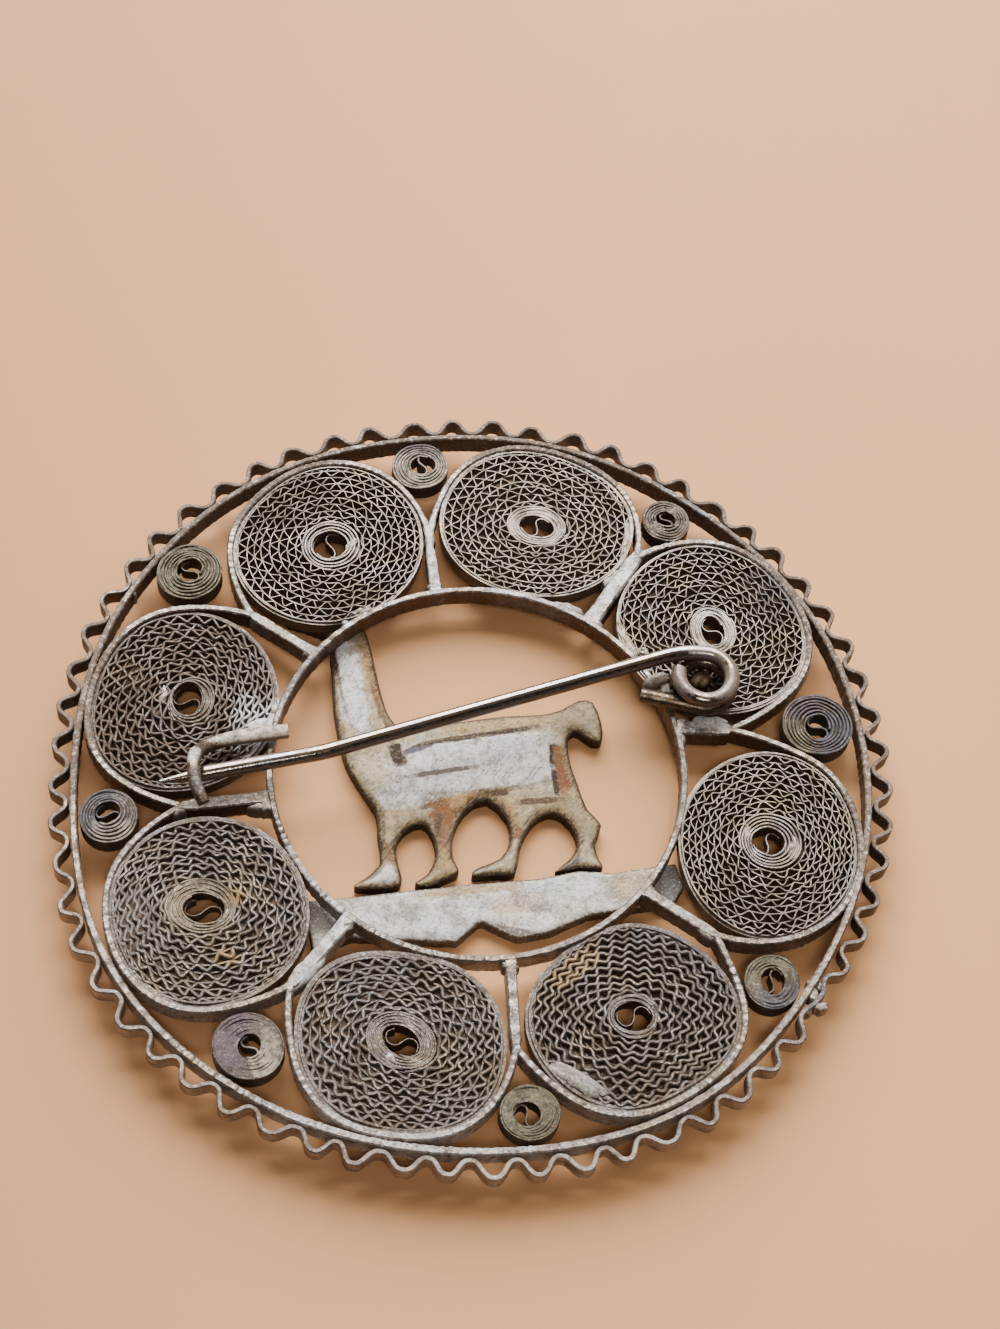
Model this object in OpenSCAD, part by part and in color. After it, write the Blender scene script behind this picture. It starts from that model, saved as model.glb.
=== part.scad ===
// Round silver filigree brooch, lying face down with its pin uppermost.
// Two hoops joined by eight petal strips hold eight coils of crimped wire, with
// a small rosette between each pair of petals, a crimped edge round the outside,
// and a flat llama that stands on a ground plate across the middle.
// X runs to the right, Y away from the viewer's edge and Z up; millimetres.

/* [Strips] */
// Mean radius of the outer hoop, to the middle of its strip
hoop_r = 23.53; // [23.4:0.01:23.8]
// Radius of the centre hoop, to the middle of its strip
centre_r = 12.17; // [12.0:0.01:12.25]
// Thickness of the strips, seen from above
strip_t = 0.4; // [0.3:0.02:0.44]
// Height of the strips
strip_h = 1.4; // [1.3:0.05:1.6]
// Clear space between a coil and the petal strip round it
coil_gap = 0.1; // [0.06:0.01:0.14]

/* [Crimped edge] */
// Number of teeth round the crimped edge
teeth = 61; // [50:1:70]
// How far the teeth stand out from their valleys
tooth_depth = 0.9; // [0.6:0.05:1.1]
// Thickness of the crimped ribbon
edge_t = 0.22; // [0.16:0.01:0.24]
// Height of the crimped ribbon
edge_h = 1.15; // [0.9:0.05:1.15]

/* [Coils and rosettes] */
// Radius of the hole in the middle of each coil
eye_r = 1.0; // [0.8:0.05:1.2]
// Width of the close-wound ring round the eye
eye_ring_w = 0.9; // [0.6:0.05:1.0]
// Turns of the spiral between the eye and the rim
coil_turns = 3; // [2:1:4]
// Width of the wound band in a coil
coil_band_w = 0.62; // [0.5:0.02:0.7]
// Height of the coils
coil_h = 1.15; // [0.9:0.05:1.15]
// Radius of the hole in the middle of each rosette
rosette_eye_r = 0.45; // [0.4:0.05:0.5]
// Width of the close-wound ring round a rosette's hole
rosette_eye_ring_w = 0.4; // [0.36:0.02:0.5]
// Turns of the spiral between a rosette's hole and its rim
rosette_turns = 1; // [1:1:2]
// Width of the wound band in a rosette
rosette_band_w = 0.3; // [0.24:0.02:0.34]

/* [Llama and ground] */
// Thickness of the llama
llama_t = 1.2; // [1.0:0.05:1.2]
// Thickness of the ground plate
ground_t = 1.0; // [0.8:0.05:1.2]

/* [Pin and catch] */
// Diameter of the pin's wire
pin_d = 0.9; // [0.8:0.02:0.92]
// Diameter of the catch's wire
catch_d = 0.78; // [0.7:0.02:0.8]
// Radius of the pin's spring turns, to the middle of the wire
turn_r = 1.6; // [1.5:0.02:1.7]

/* [Hidden] */
$fn = 96;

// Where the hoop's middle lies, so that the whole outline is centred on the origin
hoop_at = [-0.3, -0.13, 0];
centre_at = [0.487, 0.09];

// Heights above the face that the brooch lies on
gap = 0.05;
coil_drop = 0.1;
edge_drop = 0.15;
strip_z = max(llama_t, ground_t) + gap;
strip_top = strip_z + strip_h;
coil_z = strip_top - coil_drop - coil_h;
edge_z = strip_top - edge_drop - edge_h;
bend_d = pin_d + 0.02;
turn_z = strip_top + gap + bend_d / 2;
pin_z = turn_z + bend_d + gap;

// Small departures of the outer hoop from a true circle
// columns: waves round the circle, height, heading of a crest
HOOP_WAVES = [
    [1, 0.12, 15.5],
    [2, 0.12, 80.4],
    [3, 0.11, 0.5],
    [4, 0.17, -44.5],
    [5, 0.13, 13.5],
    [8, 0.07, -7.4]
];

// One row for each coil, clockwise from the upper left
// columns: x, y, mean radius, height and heading of its oval, of its three lobes
// and of its four lobes
COILS = [
    [-10.55, 13.94, 5.64, 0.26, 54, 0.06, -32, 0.04, 9],
    [1.83, 17.67, 5.59, 0.34, -1, 0.08, -1, 0.05, 29],
    [13.36, 11.85, 5.74, 0.22, -53, 0.07, -25, 0.04, -1],
    [17.83, -2.08, 5.52, 0.41, 87, 0.00, 0, 0.05, -15],
    [11.02, -14.02, 5.57, 0.34, 30, 0.07, -2, 0.13, 4],
    [-1.55, -17.40, 5.54, 0.34, -12, 0.04, 29, 0.11, -38],
    [-13.32, -11.35, 5.61, 0.15, -65, 0.05, 15, 0.05, -15],
    [-17.18, 1.68, 5.65, 0.35, 83, 0.12, -7, 0.02, -35]
];

// One row for each strut, between a coil and the next one clockwise
// columns: angle of its foot on the centre hoop, x and y of its fork, width
STRUTS = [
    [109.5, -4.4, 14.7, 0.6],
    [63.5, 8.3, 16.2, 0.95],
    [21.8, 15.0, 5.0, 0.9],
    [328.5, 15.2, -8.4, 0.6],
    [286, 4.8, -16.8, 0.6],
    [241, -8.0, -15.1, 0.75],
    [198.5, -16.0, -5.2, 0.75],
    [150.5, -14.3, 8.1, 0.6]
];

// One row for each rosette, clockwise from the top
// columns: x, y, mean radius, height and heading of its oval, of its three lobes
// and of its four lobes
ROSETTES = [
    [-5.85, 20.65, 1.74, 0.04,  30, 0, 0, 0, 0],
    [ 9.90, 19.20, 1.48, 0.03, 120, 0, 0, 0, 0],
    [20.30,  6.20, 2.08, 0.04,  60, 0, 0, 0, 0],
    [18.62, -10.78, 1.63, 0.03, 80, 0, 0, 0, 0],
    [ 6.00, -20.45, 1.64, 0.04, 10, 0, 0, 0, 0],
    [-9.70, -19.00, 1.98, 0.05, 150, 0, 0, 0, 0],
    [-20.00, -6.50, 1.70, 0.04, 100, 0, 0, 0, 0],
    [-18.50, 10.45, 1.93, 0.04,  50, 0, 0, 0, 0]
];

// The llama's outline, a table for each stretch of it; columns: x, y
NECK_FRONT = [[-9.34, 6.86], [-8.98, 5.43], [-8.54, 3.29], [-7.82, 1.14], [-7.29, -0.11]];
CHEST = [[-6.39, -1.36], [-5.5, -2.43], [-5.0, -3.14], [-4.7, -4.57], [-4.3, -6.3]];
FRONT_FOOT = [[-5.32, -7.6], [-5.64, -8.0], [-4.43, -7.9], [-2.96, -7.43]];
FIRST_ARCH = [
    [-3.1, -6.5], [-3.57, -5.2], [-3.3, -4.1], [-2.64, -3.46], [-2.1, -3.4], [-1.57, -4.04], [-1.2, -5.2]
];
SECOND_FOOT = [[-1.5, -6.5], [-2.2, -7.2], [-1.4, -7.25], [-0.14, -6.45], [0.3, -6.0]];
SECOND_ARCH = [
    [-0.2, -5.2], [-0.36, -3.7], [0.12, -2.07], [1.29, -1.18], [2.63, -2.25], [2.95, -3.6], [2.54, -4.84]
];
THIRD_FOOT = [[1.29, -5.64], [1.05, -6.2], [2.54, -5.9], [3.5, -5.6]];
THIRD_ARCH = [[3.6, -4.1], [3.8, -2.96], [4.4, -1.9], [5.3, -1.4], [6.38, -2.07], [6.9, -3.2], [6.5, -4.3]];
HIND_FOOT = [[5.8, -5.15], [7.2, -4.7], [8.55, -4.52], [8.2, -3.9]];
RUMP = [[7.9, -2.96], [8.16, -1.7], [7.2, -0.8], [6.46, 0.79], [5.9, 2.04], [5.55, 3.6]];
TAIL = [[5.95, 4.3], [6.8, 3.8], [7.6, 3.8], [7.45, 5.07], [6.8, 6.4], [5.9, 6.4], [4.95, 5.6]];
BACK = [[3.8, 5.07], [1.64, 4.6], [-1.5, 3.6], [-4.0, 2.7], [-5.1, 3.3]];
NECK_BACK = [[-5.77, 4.54], [-6.5, 6.5], [-7.29, 8.64], [-8.3, 10.3]];
HEAD = [
    [-9.2, 11.1], [-9.75, 12.8], [-10.3, 12.5], [-10.7, 11.0],
    [-12.5, 10.4], [-12.9, 9.6], [-12.2, 8.9], [-9.9, 8.4]
];

// The ground plate's outline, a table for each side of it; columns: x, y
GROUND_TOP = [
    [-8.3, -9.3], [-5.3, -8.5], [-2.3, -7.65], [1.29, -6.65],
    [4.86, -5.75], [7.2, -4.85], [9.14, -4.7], [12.7, -3.5]
];
GROUND_END = [[13.35, -4.9], [12.9, -6.0]];
GROUND_FOOT = [
    [9.7, -7.1], [8.07, -7.6], [5.93, -9.04], [4.14, -9.7], [2.54, -9.2],
    [1.9, -9.0], [0.75, -10.46], [-2.3, -10.8], [-5.2, -11.1], [-7.2, -12.4]
];

// The pin: the middle of its spring turns, and the end of its soldered foot; columns: x, y
TURN_AT = [13.12, 7.42];
FOOT_END = [9.45, 6.1];
// Its stem leaves the turns in a wide bend, runs straight to a slight knee, then
// straight again to where it narrows to its point
bend_r = 5.5;
stem_heading = 27.0;
stem_l = 20.7;
knee_r = 12;
neck_heading = 20.8;
neck_l = 6.3;
point_l = 2.6;
point_d = 0.16;
// Angles through which the lower and upper spring turns run
foot_turn = 290;
upper_turn = 280;
// How far a straight length runs into a bend
lap = 0.1;

// The catch's wire, from its soldered tail over the pin to its tip
// columns: x, y, height of the wire's middle above the strips
CATCH_WIRE = [
    [-10.78, 0.28, 0.5],
    [-12.91, -0.38, 0.5],
    [-14.3, -0.95, 0.55],
    [-15.18, -1.6, 0.8],
    [-15.55, -2.4, 1.45],
    [-15.6, -3.15, 2.2],
    [-15.46, -4.0, 2.58],
    [-15.22, -4.85, 2.62],
    [-14.87, -5.5, 2.54],
    [-14.48, -6.06, 2.42]
];

// How finely the curves are drawn: steps between the hand-set points of the catch
// and of the llama, sides of round wire, points round a hoop and a coil's rim, steps
// along a petal strip and round one turn of a spiral
catch_steps = 3;
catch_sides = 16;
llama_steps = 2;
wire_sides = 32;
hoop_points = 180;
rim_points = 72;
petal_steps = 54;
coil_steps = 44;
rosette_steps = 26;

function add(v, i = 0) = i < len(v) ? v[i] + add(v, i + 1) : 0;
function polar(r, a) = [r * cos(a), r * sin(a)];
function heading(v) = atan2(v.y, v.x);
function waves(rows, a) = add([for (w = rows) w[1] * cos(w[0] * (a - w[2]))]);

// Radius of the outer hoop's strip at an angle
function hoop_radius(a) = hoop_r + waves(HOOP_WAVES, a);

// Radius of a coil's rim at an angle about its own middle
function coil_radius(row, a) =
    row[2] + waves([[2, row[3], row[4]], [3, row[5], row[6]], [4, row[7], row[8]]], a);

function coil_at(row) = [row[0], row[1]];

// Even angles round a circle
function angles(n) = [for (i = [0 : n - 1]) i * 360 / n];

// The closed path whose radius at each of its even angles is given by a list
function ring_path(radii) =
    [for (i = [0 : len(radii) - 1]) polar(radii[i], i * 360 / len(radii))];

// The side direction of a path at one of its points
function side(path, i, closed) =
    let (
        n = len(path),
        before = closed ? path[(i - 1 + n) % n] : path[max(i - 1, 0)],
        after = closed ? path[(i + 1) % n] : path[min(i + 1, n - 1)],
        along = after - before
    )
    [along.y, -along.x] / norm(along);

function shifted(path, by, closed) =
    [for (i = [0 : len(path) - 1]) path[i] + by * side(path, i, closed)];

function reversed(v) = [for (i = [len(v) - 1 : -1 : 0]) v[i]];

// A closed strip of even width along a path
module loop_strip(path, width) {
    n = len(path);
    polygon(
        concat(shifted(path, width / 2, true), shifted(path, -width / 2, true)),
        [[for (i = [0 : n - 1]) i], [for (i = [0 : n - 1]) n + i]]
    );
}

// An open strip of even width along a path
module open_strip(path, width) {
    polygon(concat(
        shifted(path, width / 2, false),
        reversed(shifted(path, -width / 2, false))
    ));
}

// A smooth closed curve through hand-set points
function curve_point(a, b, c, d, t) =
    b + t / 2 * (c - a + t * (2 * a - 5 * b + 4 * c - d + t * (3 * b - a - 3 * c + d)));

function smooth(points, steps) =
    let (n = len(points))
    [for (i = [0 : n - 1]) for (s = [0 : steps - 1])
        curve_point(
            points[(i - 1 + n) % n], points[i], points[(i + 1) % n], points[(i + 2) % n], s / steps)];

// How far a petal strip lies outside its coil's rim
petal_out = coil_gap + strip_t / 2;
// Angle, seen from its coil, over which a petal strip flares out to a fork
flare_angle = 40;

function fork_at(row) = [row[1], row[2]];

// Angle of a point seen from a coil, counted up from a starting angle
function turned_to(coil, point, from) =
    let (a = heading(point - coil_at(coil)))
    a + 360 * ceil((from - a) / 360);

// Radius of a petal strip: round the rim, then flaring out to each of its forks
function petal_radius(coil, a, from, to, leave_from, leave_to, fork_from, fork_to) =
    let (
        rim = coil_radius(coil, a) + petal_out,
        flare_from = norm(fork_from - coil_at(coil)) - coil_radius(coil, from) - petal_out,
        flare_to = norm(fork_to - coil_at(coil)) - coil_radius(coil, to) - petal_out,
        s = a < leave_from ? (leave_from - a) / (leave_from - from) : 0,
        e = a > leave_to ? (a - leave_to) / (to - leave_to) : 0
    )
    rim + flare_from * s * s + flare_to * e * e;

// Path of the petal strip round a coil, from the strut after it to the strut before it
function petal_path(k) =
    let (
        coil = COILS[k],
        fork_from = fork_at(STRUTS[k]),
        fork_to = fork_at(STRUTS[(k + 7) % 8]),
        from = heading(fork_from - coil_at(coil)),
        to = turned_to(coil, fork_to, from),
        leave_from = from + flare_angle,
        leave_to = to - flare_angle
    )
    [for (i = [0 : petal_steps])
        let (a = from + (to - from) * i / petal_steps)
        coil_at(coil) + polar(
            petal_radius(coil, a, from, to, leave_from, leave_to, fork_from, fork_to), a)];

module frame() {
    color("silver")
    translate([hoop_at.x, hoop_at.y, strip_z])
    linear_extrude(strip_h)
    union() {
        loop_strip(ring_path([for (a = angles(hoop_points)) hoop_radius(a)]), strip_t);
        translate(centre_at)
        difference() {
            circle(centre_r + strip_t / 2);
            circle(centre_r - strip_t / 2);
        }
        for (k = [0 : len(COILS) - 1])
            open_strip(petal_path(k), strip_t);
        for (row = STRUTS)
            open_strip([centre_at + polar(centre_r, row[0]), fork_at(row)], row[3]);
    }
}

// The crimped ribbon: the heading of its first tooth, and how far the teeth drift
// from an even pitch round the brooch
first_tooth = 7.35;
tooth_drift = 2.3;
drift_heading = 240;
// It stands a little slack on one side, and one tooth is crushed
slack = 0.04;
slack_heading = 315;
crushed_heading = 331.6;
crushed_spread = 3.5;
crushed_depth = 0.7;
tooth_points = 8;

function tooth_phase(a) = teeth * (a - first_tooth - tooth_drift * cos(a - drift_heading));

// Radius of the middle of the crimped ribbon at an angle
function edge_radius(a) =
    let (
        valley = hoop_radius(a) + strip_t / 2 + gap + edge_t / 2,
        loose = slack * (1 + cos(a - slack_heading)),
        kept = 1 - crushed_depth * exp(-pow((a - crushed_heading) / crushed_spread, 2))
    )
    valley + loose + tooth_depth * kept * (1 + cos(tooth_phase(a))) / 2;

module crimped_edge() {
    color("gainsboro")
    translate([hoop_at.x, hoop_at.y, edge_z])
    linear_extrude(edge_h)
    loop_strip(ring_path([for (a = angles(teeth * tooth_points)) edge_radius(a)]), edge_t);
}

// A wound coil, flat: a rim band, an eye ring and the spiral band between them
module winding(row, hole_r, hole_ring_w, band_w, turns, start, steps_per_turn) {
    n = turns * steps_per_turn;
    step = 360 / steps_per_turn;
    inner = hole_r + hole_ring_w / 2;
    union() {
        loop_strip(ring_path([for (a = angles(rim_points)) coil_radius(row, a) - band_w / 2]), band_w);
        open_strip([for (i = [0 : n])
            let (
                a = start + i * step,
                outer = coil_radius(row, a) - band_w / 2
            )
            polar(inner + (outer - inner) * i / n, a)], band_w);
        difference() {
            circle(hole_r + hole_ring_w);
            circle(hole_r);
        }
    }
}

// The spiral bands start at a different angle in each coil and rosette
coil_start_step = 77;
rosette_start_step = 50;

module coil(k) {
    row = COILS[k - 1];
    color("lightgray")
    translate([hoop_at.x, hoop_at.y, coil_z])
    linear_extrude(coil_h)
    difference() {
        translate(coil_at(row))
        winding(row, eye_r, eye_ring_w, coil_band_w, coil_turns, k * coil_start_step, coil_steps);
        translate(centre_at)
        circle(centre_r + strip_t / 2 + gap);
    }
}

module rosette(k) {
    row = ROSETTES[k - 1];
    color("darkgray")
    translate([hoop_at.x, hoop_at.y, coil_z])
    linear_extrude(coil_h)
    translate(coil_at(row))
    winding(row, rosette_eye_r, rosette_eye_ring_w, rosette_band_w, rosette_turns,
            k * rosette_start_step, rosette_steps);
}

module llama() {
    color("silver")
    translate(hoop_at)
    linear_extrude(llama_t)
    difference() {
        polygon(smooth(concat(
            NECK_FRONT, CHEST, FRONT_FOOT, FIRST_ARCH, SECOND_FOOT, SECOND_ARCH, THIRD_FOOT,
            THIRD_ARCH, HIND_FOOT, RUMP, TAIL, BACK, NECK_BACK, HEAD), llama_steps));
        ground_outline();
    }
}

module ground_outline() {
    polygon(concat(GROUND_TOP, GROUND_END, GROUND_FOOT));
}

module ground_plate() {
    color("lightsteelblue")
    translate(hoop_at)
    linear_extrude(ground_t)
    ground_outline();
}

// A straight round rod that runs level towards -X from a point on the X axis
module rod(from_x, length, d_from, d_to) {
    translate([from_x, 0, 0])
    rotate([0, -90, 0])
    cylinder(h = length, d1 = d_from, d2 = d_to, $fn = wire_sides);
}

// Part of a level ring of round wire about the origin, a hair thicker than the
// straight lengths that run into its ends
module bend(r, from, to) {
    rotate([0, 0, from])
    rotate_extrude(angle = to - from)
    translate([r, 0])
    circle(d = bend_d, $fn = wire_sides);
}

// Corners of a round section of wire at one point of its path
function wire_section(path, i, d, sides) =
    let (
        n = len(path),
        along = path[min(i + 1, n - 1)] - path[max(i - 1, 0)],
        level = cross(along, [0, 0, 1]),
        across = level / norm(level),
        rise = cross(across, along / norm(along))
    )
    [for (j = [0 : sides - 1])
        path[i] + d / 2 * (cos(j * 360 / sides) * across + sin(j * 360 / sides) * rise)];

// Wire of round section swept along a bent path
module bent_wire(path, d, sides) {
    n = len(path);
    skin = [for (i = [0 : n - 2]) for (j = [0 : sides - 1])
        let (here = i * sides, next = here + sides, k = (j + 1) % sides)
        [here + j, here + k, next + k, next + j]];
    polyhedron(
        [for (i = [0 : n - 1]) each wire_section(path, i, d, sides)],
        concat(
            [[for (j = [sides - 1 : -1 : 0]) j]],
            skin,
            [[for (j = [0 : sides - 1]) (n - 1) * sides + j]]
        )
    );
}

// A smooth open path through hand-set points
function smooth_path(points, steps) =
    let (n = len(points))
    concat(
        [for (i = [0 : n - 2]) for (s = [0 : steps - 1])
            curve_point(
                points[max(i - 1, 0)], points[i], points[i + 1], points[min(i + 2, n - 1)], s / steps)],
        [points[n - 1]]
    );

module catch() {
    color("dimgray")
    translate([hoop_at.x, hoop_at.y, strip_top])
    bent_wire(smooth_path(CATCH_WIRE, catch_steps), catch_d, catch_sides);
}

// The lower spring turn and the straight foot that is soldered to the hoop
module pin_foot() {
    to_foot = FOOT_END - TURN_AT;
    foot_l = sqrt(pow(norm(to_foot), 2) - pow(turn_r, 2));
    color("slategray")
    translate([hoop_at.x + TURN_AT.x, hoop_at.y + TURN_AT.y, turn_z])
    rotate([0, 0, heading(-to_foot) - asin(turn_r / norm(to_foot))]) {
        bend(turn_r, -90, -90 + foot_turn);
        translate([0, -turn_r, 0])
        rod(lap, foot_l + lap, pin_d, pin_d);
    }
}

// The upper spring turn, and the stem that leaves it to pass under the catch
module pin() {
    color("gray")
    translate([hoop_at.x + TURN_AT.x, hoop_at.y + TURN_AT.y, pin_z]) {
        mirror([1, 0, 0])
        bend(turn_r, 90, 90 + upper_turn);
        translate([0, turn_r - bend_r, 0]) {
            bend(bend_r, 90, 90 + stem_heading);
            rotate([0, 0, stem_heading])
            translate([0, bend_r, 0])
            stem();
        }
    }
}

// The straight length of the stem, its knee, and the neck that narrows to the point
module stem() {
    knee_turn = stem_heading - neck_heading;
    rod(lap, stem_l + 2 * lap, pin_d, pin_d);
    translate([-stem_l, knee_r, 0]) {
        bend(knee_r, -90 - knee_turn, -90);
        rotate([0, 0, -knee_turn])
        translate([0, -knee_r, 0]) {
            rod(lap, neck_l + lap, pin_d, pin_d);
            rod(-neck_l, point_l, pin_d, point_d);
        }
    }
}

frame();
crimped_edge();
coil(1);  // coil_1
coil(2);  // coil_2
coil(3);  // coil_3
coil(4);  // coil_4
coil(5);  // coil_5
coil(6);  // coil_6
coil(7);  // coil_7
coil(8);  // coil_8
rosette(1);  // rosette_1
rosette(2);  // rosette_2
rosette(3);  // rosette_3
rosette(4);  // rosette_4
rosette(5);  // rosette_5
rosette(6);  // rosette_6
rosette(7);  // rosette_7
rosette(8);  // rosette_8
llama();
ground_plate();
catch();
pin_foot();
pin();
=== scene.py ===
import math

import bmesh
import bpy
import numpy as np
from mathutils import Matrix, Vector, kdtree


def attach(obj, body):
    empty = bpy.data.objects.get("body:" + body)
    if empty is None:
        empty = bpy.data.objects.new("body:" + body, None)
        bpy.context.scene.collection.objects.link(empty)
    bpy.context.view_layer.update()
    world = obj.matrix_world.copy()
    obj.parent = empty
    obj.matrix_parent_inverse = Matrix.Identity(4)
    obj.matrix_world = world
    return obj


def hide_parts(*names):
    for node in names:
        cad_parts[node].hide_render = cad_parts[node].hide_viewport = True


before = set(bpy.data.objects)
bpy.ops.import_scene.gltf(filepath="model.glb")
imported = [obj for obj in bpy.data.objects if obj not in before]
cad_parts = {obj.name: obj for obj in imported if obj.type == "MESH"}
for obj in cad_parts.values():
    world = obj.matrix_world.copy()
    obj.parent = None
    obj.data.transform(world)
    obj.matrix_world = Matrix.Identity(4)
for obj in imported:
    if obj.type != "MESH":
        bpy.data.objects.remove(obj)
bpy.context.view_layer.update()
print("frame loaded")

# Every plan below is in millimetres from the middle of the outer hoop, as in the part's source
mm = 0.001
hoopAt = (-0.3, -0.13)
fullTurn = 2 * math.pi


def putInScene(name, data):
    thing = bpy.data.objects.new(name, data)
    bpy.context.scene.collection.objects.link(thing)
    return thing


def polar(radius, angle):
    return np.stack([radius * np.cos(angle), radius * np.sin(angle)], -1)


def feed(tree, socket, value):
    # links the socket to another one, or sets it to a number or a colour
    if isinstance(value, bpy.types.NodeSocket):
        tree.links.new(value, socket)
    elif isinstance(value, tuple) and len(value) == 3 and socket.type == "RGBA":
        socket.default_value = (*value, 1)
    else:
        socket.default_value = value


def addNode(tree, kind, inputs, **settings):
    # one shader node with its settings and with what each input is fed; gives its outputs
    node = tree.nodes.new("ShaderNode" + kind)
    for setting, choice in settings.items():
        setattr(node, setting, choice)
    for name, value in inputs.items():
        feed(tree, node.inputs[name], value)
    return node.outputs


# Camera, lights and bench top

studio = {
    "cameraAt": (0.6036, -66.0907, 126.672),
    "cameraDown": 59.5026,
    "cameraRoll": 8.2404,
    "lens": 86.4,
    "skyBehind": (1.0, 0.80, 0.64),    # what the silver mirrors beyond the brooch
    "skyBefore": (0.06, 0.032, 0.018),  # and on the viewer's side
    "skyToward": (-0.1, 0.85, 0.5),
    "skyStrength": 0.3,
    "floorColour": (0.585, 0.315, 0.145),
    "floorPatch": (0.555, 0.29, 0.13),
    "floorPaintedShade": (0.45, 0.232, 0.108),  # painted shade, darker towards the left
    "shadeBetween": (5, -38),          # where the painted shade begins and where it is full
    "patchSize": 60,
    "grainSize": 0.35,
    "floorSize": 1600,
}

# heading it comes from, height above the horizon, distance, side length, watts, colour
softBoxes = {
    "windowLight": (101, 39, 420, 400, 7.8, (1.0, 0.94, 0.88)),
    "sideFill": (35, 35, 420, 240, 0.5, (1.0, 0.9, 0.8)),
    "frontFill": (278, 62, 420, 100, 0.55, (1.0, 0.93, 0.85)),
}


def aimCamera(plan):
    # looks along +Y and down, with the picture turned a little about its middle
    down = math.radians(plan["cameraDown"])
    turn = math.radians(plan["cameraRoll"])
    ahead = Vector((0, math.cos(down), -math.sin(down)))
    level = Vector((1, 0, 0))
    up = level.cross(ahead)
    across = level * math.cos(turn) + up * math.sin(turn)
    over = up * math.cos(turn) - level * math.sin(turn)
    camera = putInScene("benchCamera", bpy.data.cameras.new("benchCamera"))
    camera.data.lens = plan["lens"]
    camera.data.sensor_width = 36
    camera.data.sensor_fit = "HORIZONTAL"
    camera.data.clip_start = 0.005
    camera.data.clip_end = 10
    camera.data.dof.use_dof = False
    axes = Matrix((across, over, -ahead)).transposed().to_4x4()
    axes.translation = Vector(plan["cameraAt"]) * mm
    camera.matrix_world = axes
    bpy.context.scene.camera = camera


def hangLight(name, plan):
    heading, height, distance, size, watts, colour = plan
    lamp = bpy.data.lights.new(name, "AREA")
    lamp.shape = "SQUARE"
    lamp.size = size * mm
    lamp.energy = watts
    lamp.color = colour
    turn = math.radians(heading)
    rise = math.radians(height)
    flat = math.cos(rise)
    way = Vector((flat * math.cos(turn), flat * math.sin(turn), math.sin(rise)))
    holder = putInScene(name, lamp)
    holder.location = way * distance * mm
    holder.rotation_euler = way.to_track_quat("Z", "Y").to_euler()


def lightTheSky(plan):
    # pale beyond the brooch and overhead, dark on the viewer's side
    world = bpy.data.worlds.new("paleRoom")
    bpy.context.scene.world = world
    world.use_nodes = True
    tree = world.node_tree
    place = addNode(tree, "TexCoord", {})
    facing = addNode(tree, "VectorMath", {0: place["Generated"], 1: plan["skyToward"]},
                     operation="DOT_PRODUCT")
    share = addNode(tree, "MapRange", {"Value": facing["Value"], "From Min": 0.05, "From Max": 0.6})
    ends = {"Factor": share["Result"], "A": plan["skyBefore"], "B": plan["skyBehind"]}
    mixed = addNode(tree, "Mix", ends, data_type="RGBA")
    backdrop = tree.nodes["Background"].inputs
    feed(tree, backdrop["Color"], mixed["Result"])
    feed(tree, backdrop["Strength"], plan["skyStrength"])


# Materials

class Recipe:
    # a short way to write a material: each call adds a node or a few and wires what it is given

    def __init__(self, name):
        self.material = bpy.data.materials.new(name)
        self.material.use_nodes = True
        self.tree = self.material.node_tree
        self.place = self.add("TexCoord", {})

    def add(self, kind, inputs, **settings):
        return addNode(self.tree, kind, inputs, **settings)

    def shade(self, sockets):
        for name, value in sockets.items():
            feed(self.tree, self.tree.nodes["Principled BSDF"].inputs[name], value)

    def noise(self, size, detail=3, rough=0.6, longer=1, turn=0, seed=0.0):
        # size is the width of the blotches in millimetres, longer stretches them along the turned line
        moved = self.add("Mapping", {
            "Scale": (size * longer * mm, size * mm, size * mm), "Rotation": (0, 0, math.radians(turn)),
            "Location": (seed * 0.1, seed * 0.17, seed * 0.06), "Vector": self.place["Object"],
        }, vector_type="TEXTURE")
        return self.add("TexNoise", {
            "Scale": 1, "Detail": detail, "Roughness": rough, "Vector": moved["Vector"],
        })["Fac"]

    def ramp(self, value, low, high, toLow=0.0, toHigh=1.0):
        return self.add("MapRange", {
            "Value": value, "From Min": low, "From Max": high, "To Min": toLow, "To Max": toHigh,
        })["Result"]

    def blend(self, share, first, second):
        return self.add("Mix", {"Factor": share, "A": first, "B": second}, data_type="RGBA")["Result"]

    def maths(self, doing, first, second):
        return self.add("Math", {0: first, 1: second}, operation=doing)["Value"]

    def part(self, vector, axis):
        return self.add("SeparateXYZ", {"Vector": self.place[vector]})[axis]

    def spot(self, at, size, tilt, ragged):
        # 1 inside a rounded oblong of these half sizes, fading out over a ragged border
        away = self.add("Mapping", {
            "Location": ((at[0] + hoopAt[0]) * mm, (at[1] + hoopAt[1]) * mm, 0),
            "Rotation": (0, 0, math.radians(tilt)), "Scale": (size[0] * mm, size[1] * mm, 1000),
            "Vector": self.place["Object"],
        }, vector_type="TEXTURE")["Vector"]
        squared = self.add("VectorMath", {0: away, 1: away}, operation="MULTIPLY")["Vector"]
        far = self.add("VectorMath", {0: squared}, operation="LENGTH")["Value"]
        return self.ramp(self.maths("ADD", far, ragged), 1.35, 0.65)

    def bump(self, height, depth, strength):
        dents = self.add("Bump", {"Height": height, "Distance": depth * mm, "Strength": strength})
        self.shade({"Normal": dents["Normal"]})


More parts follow.
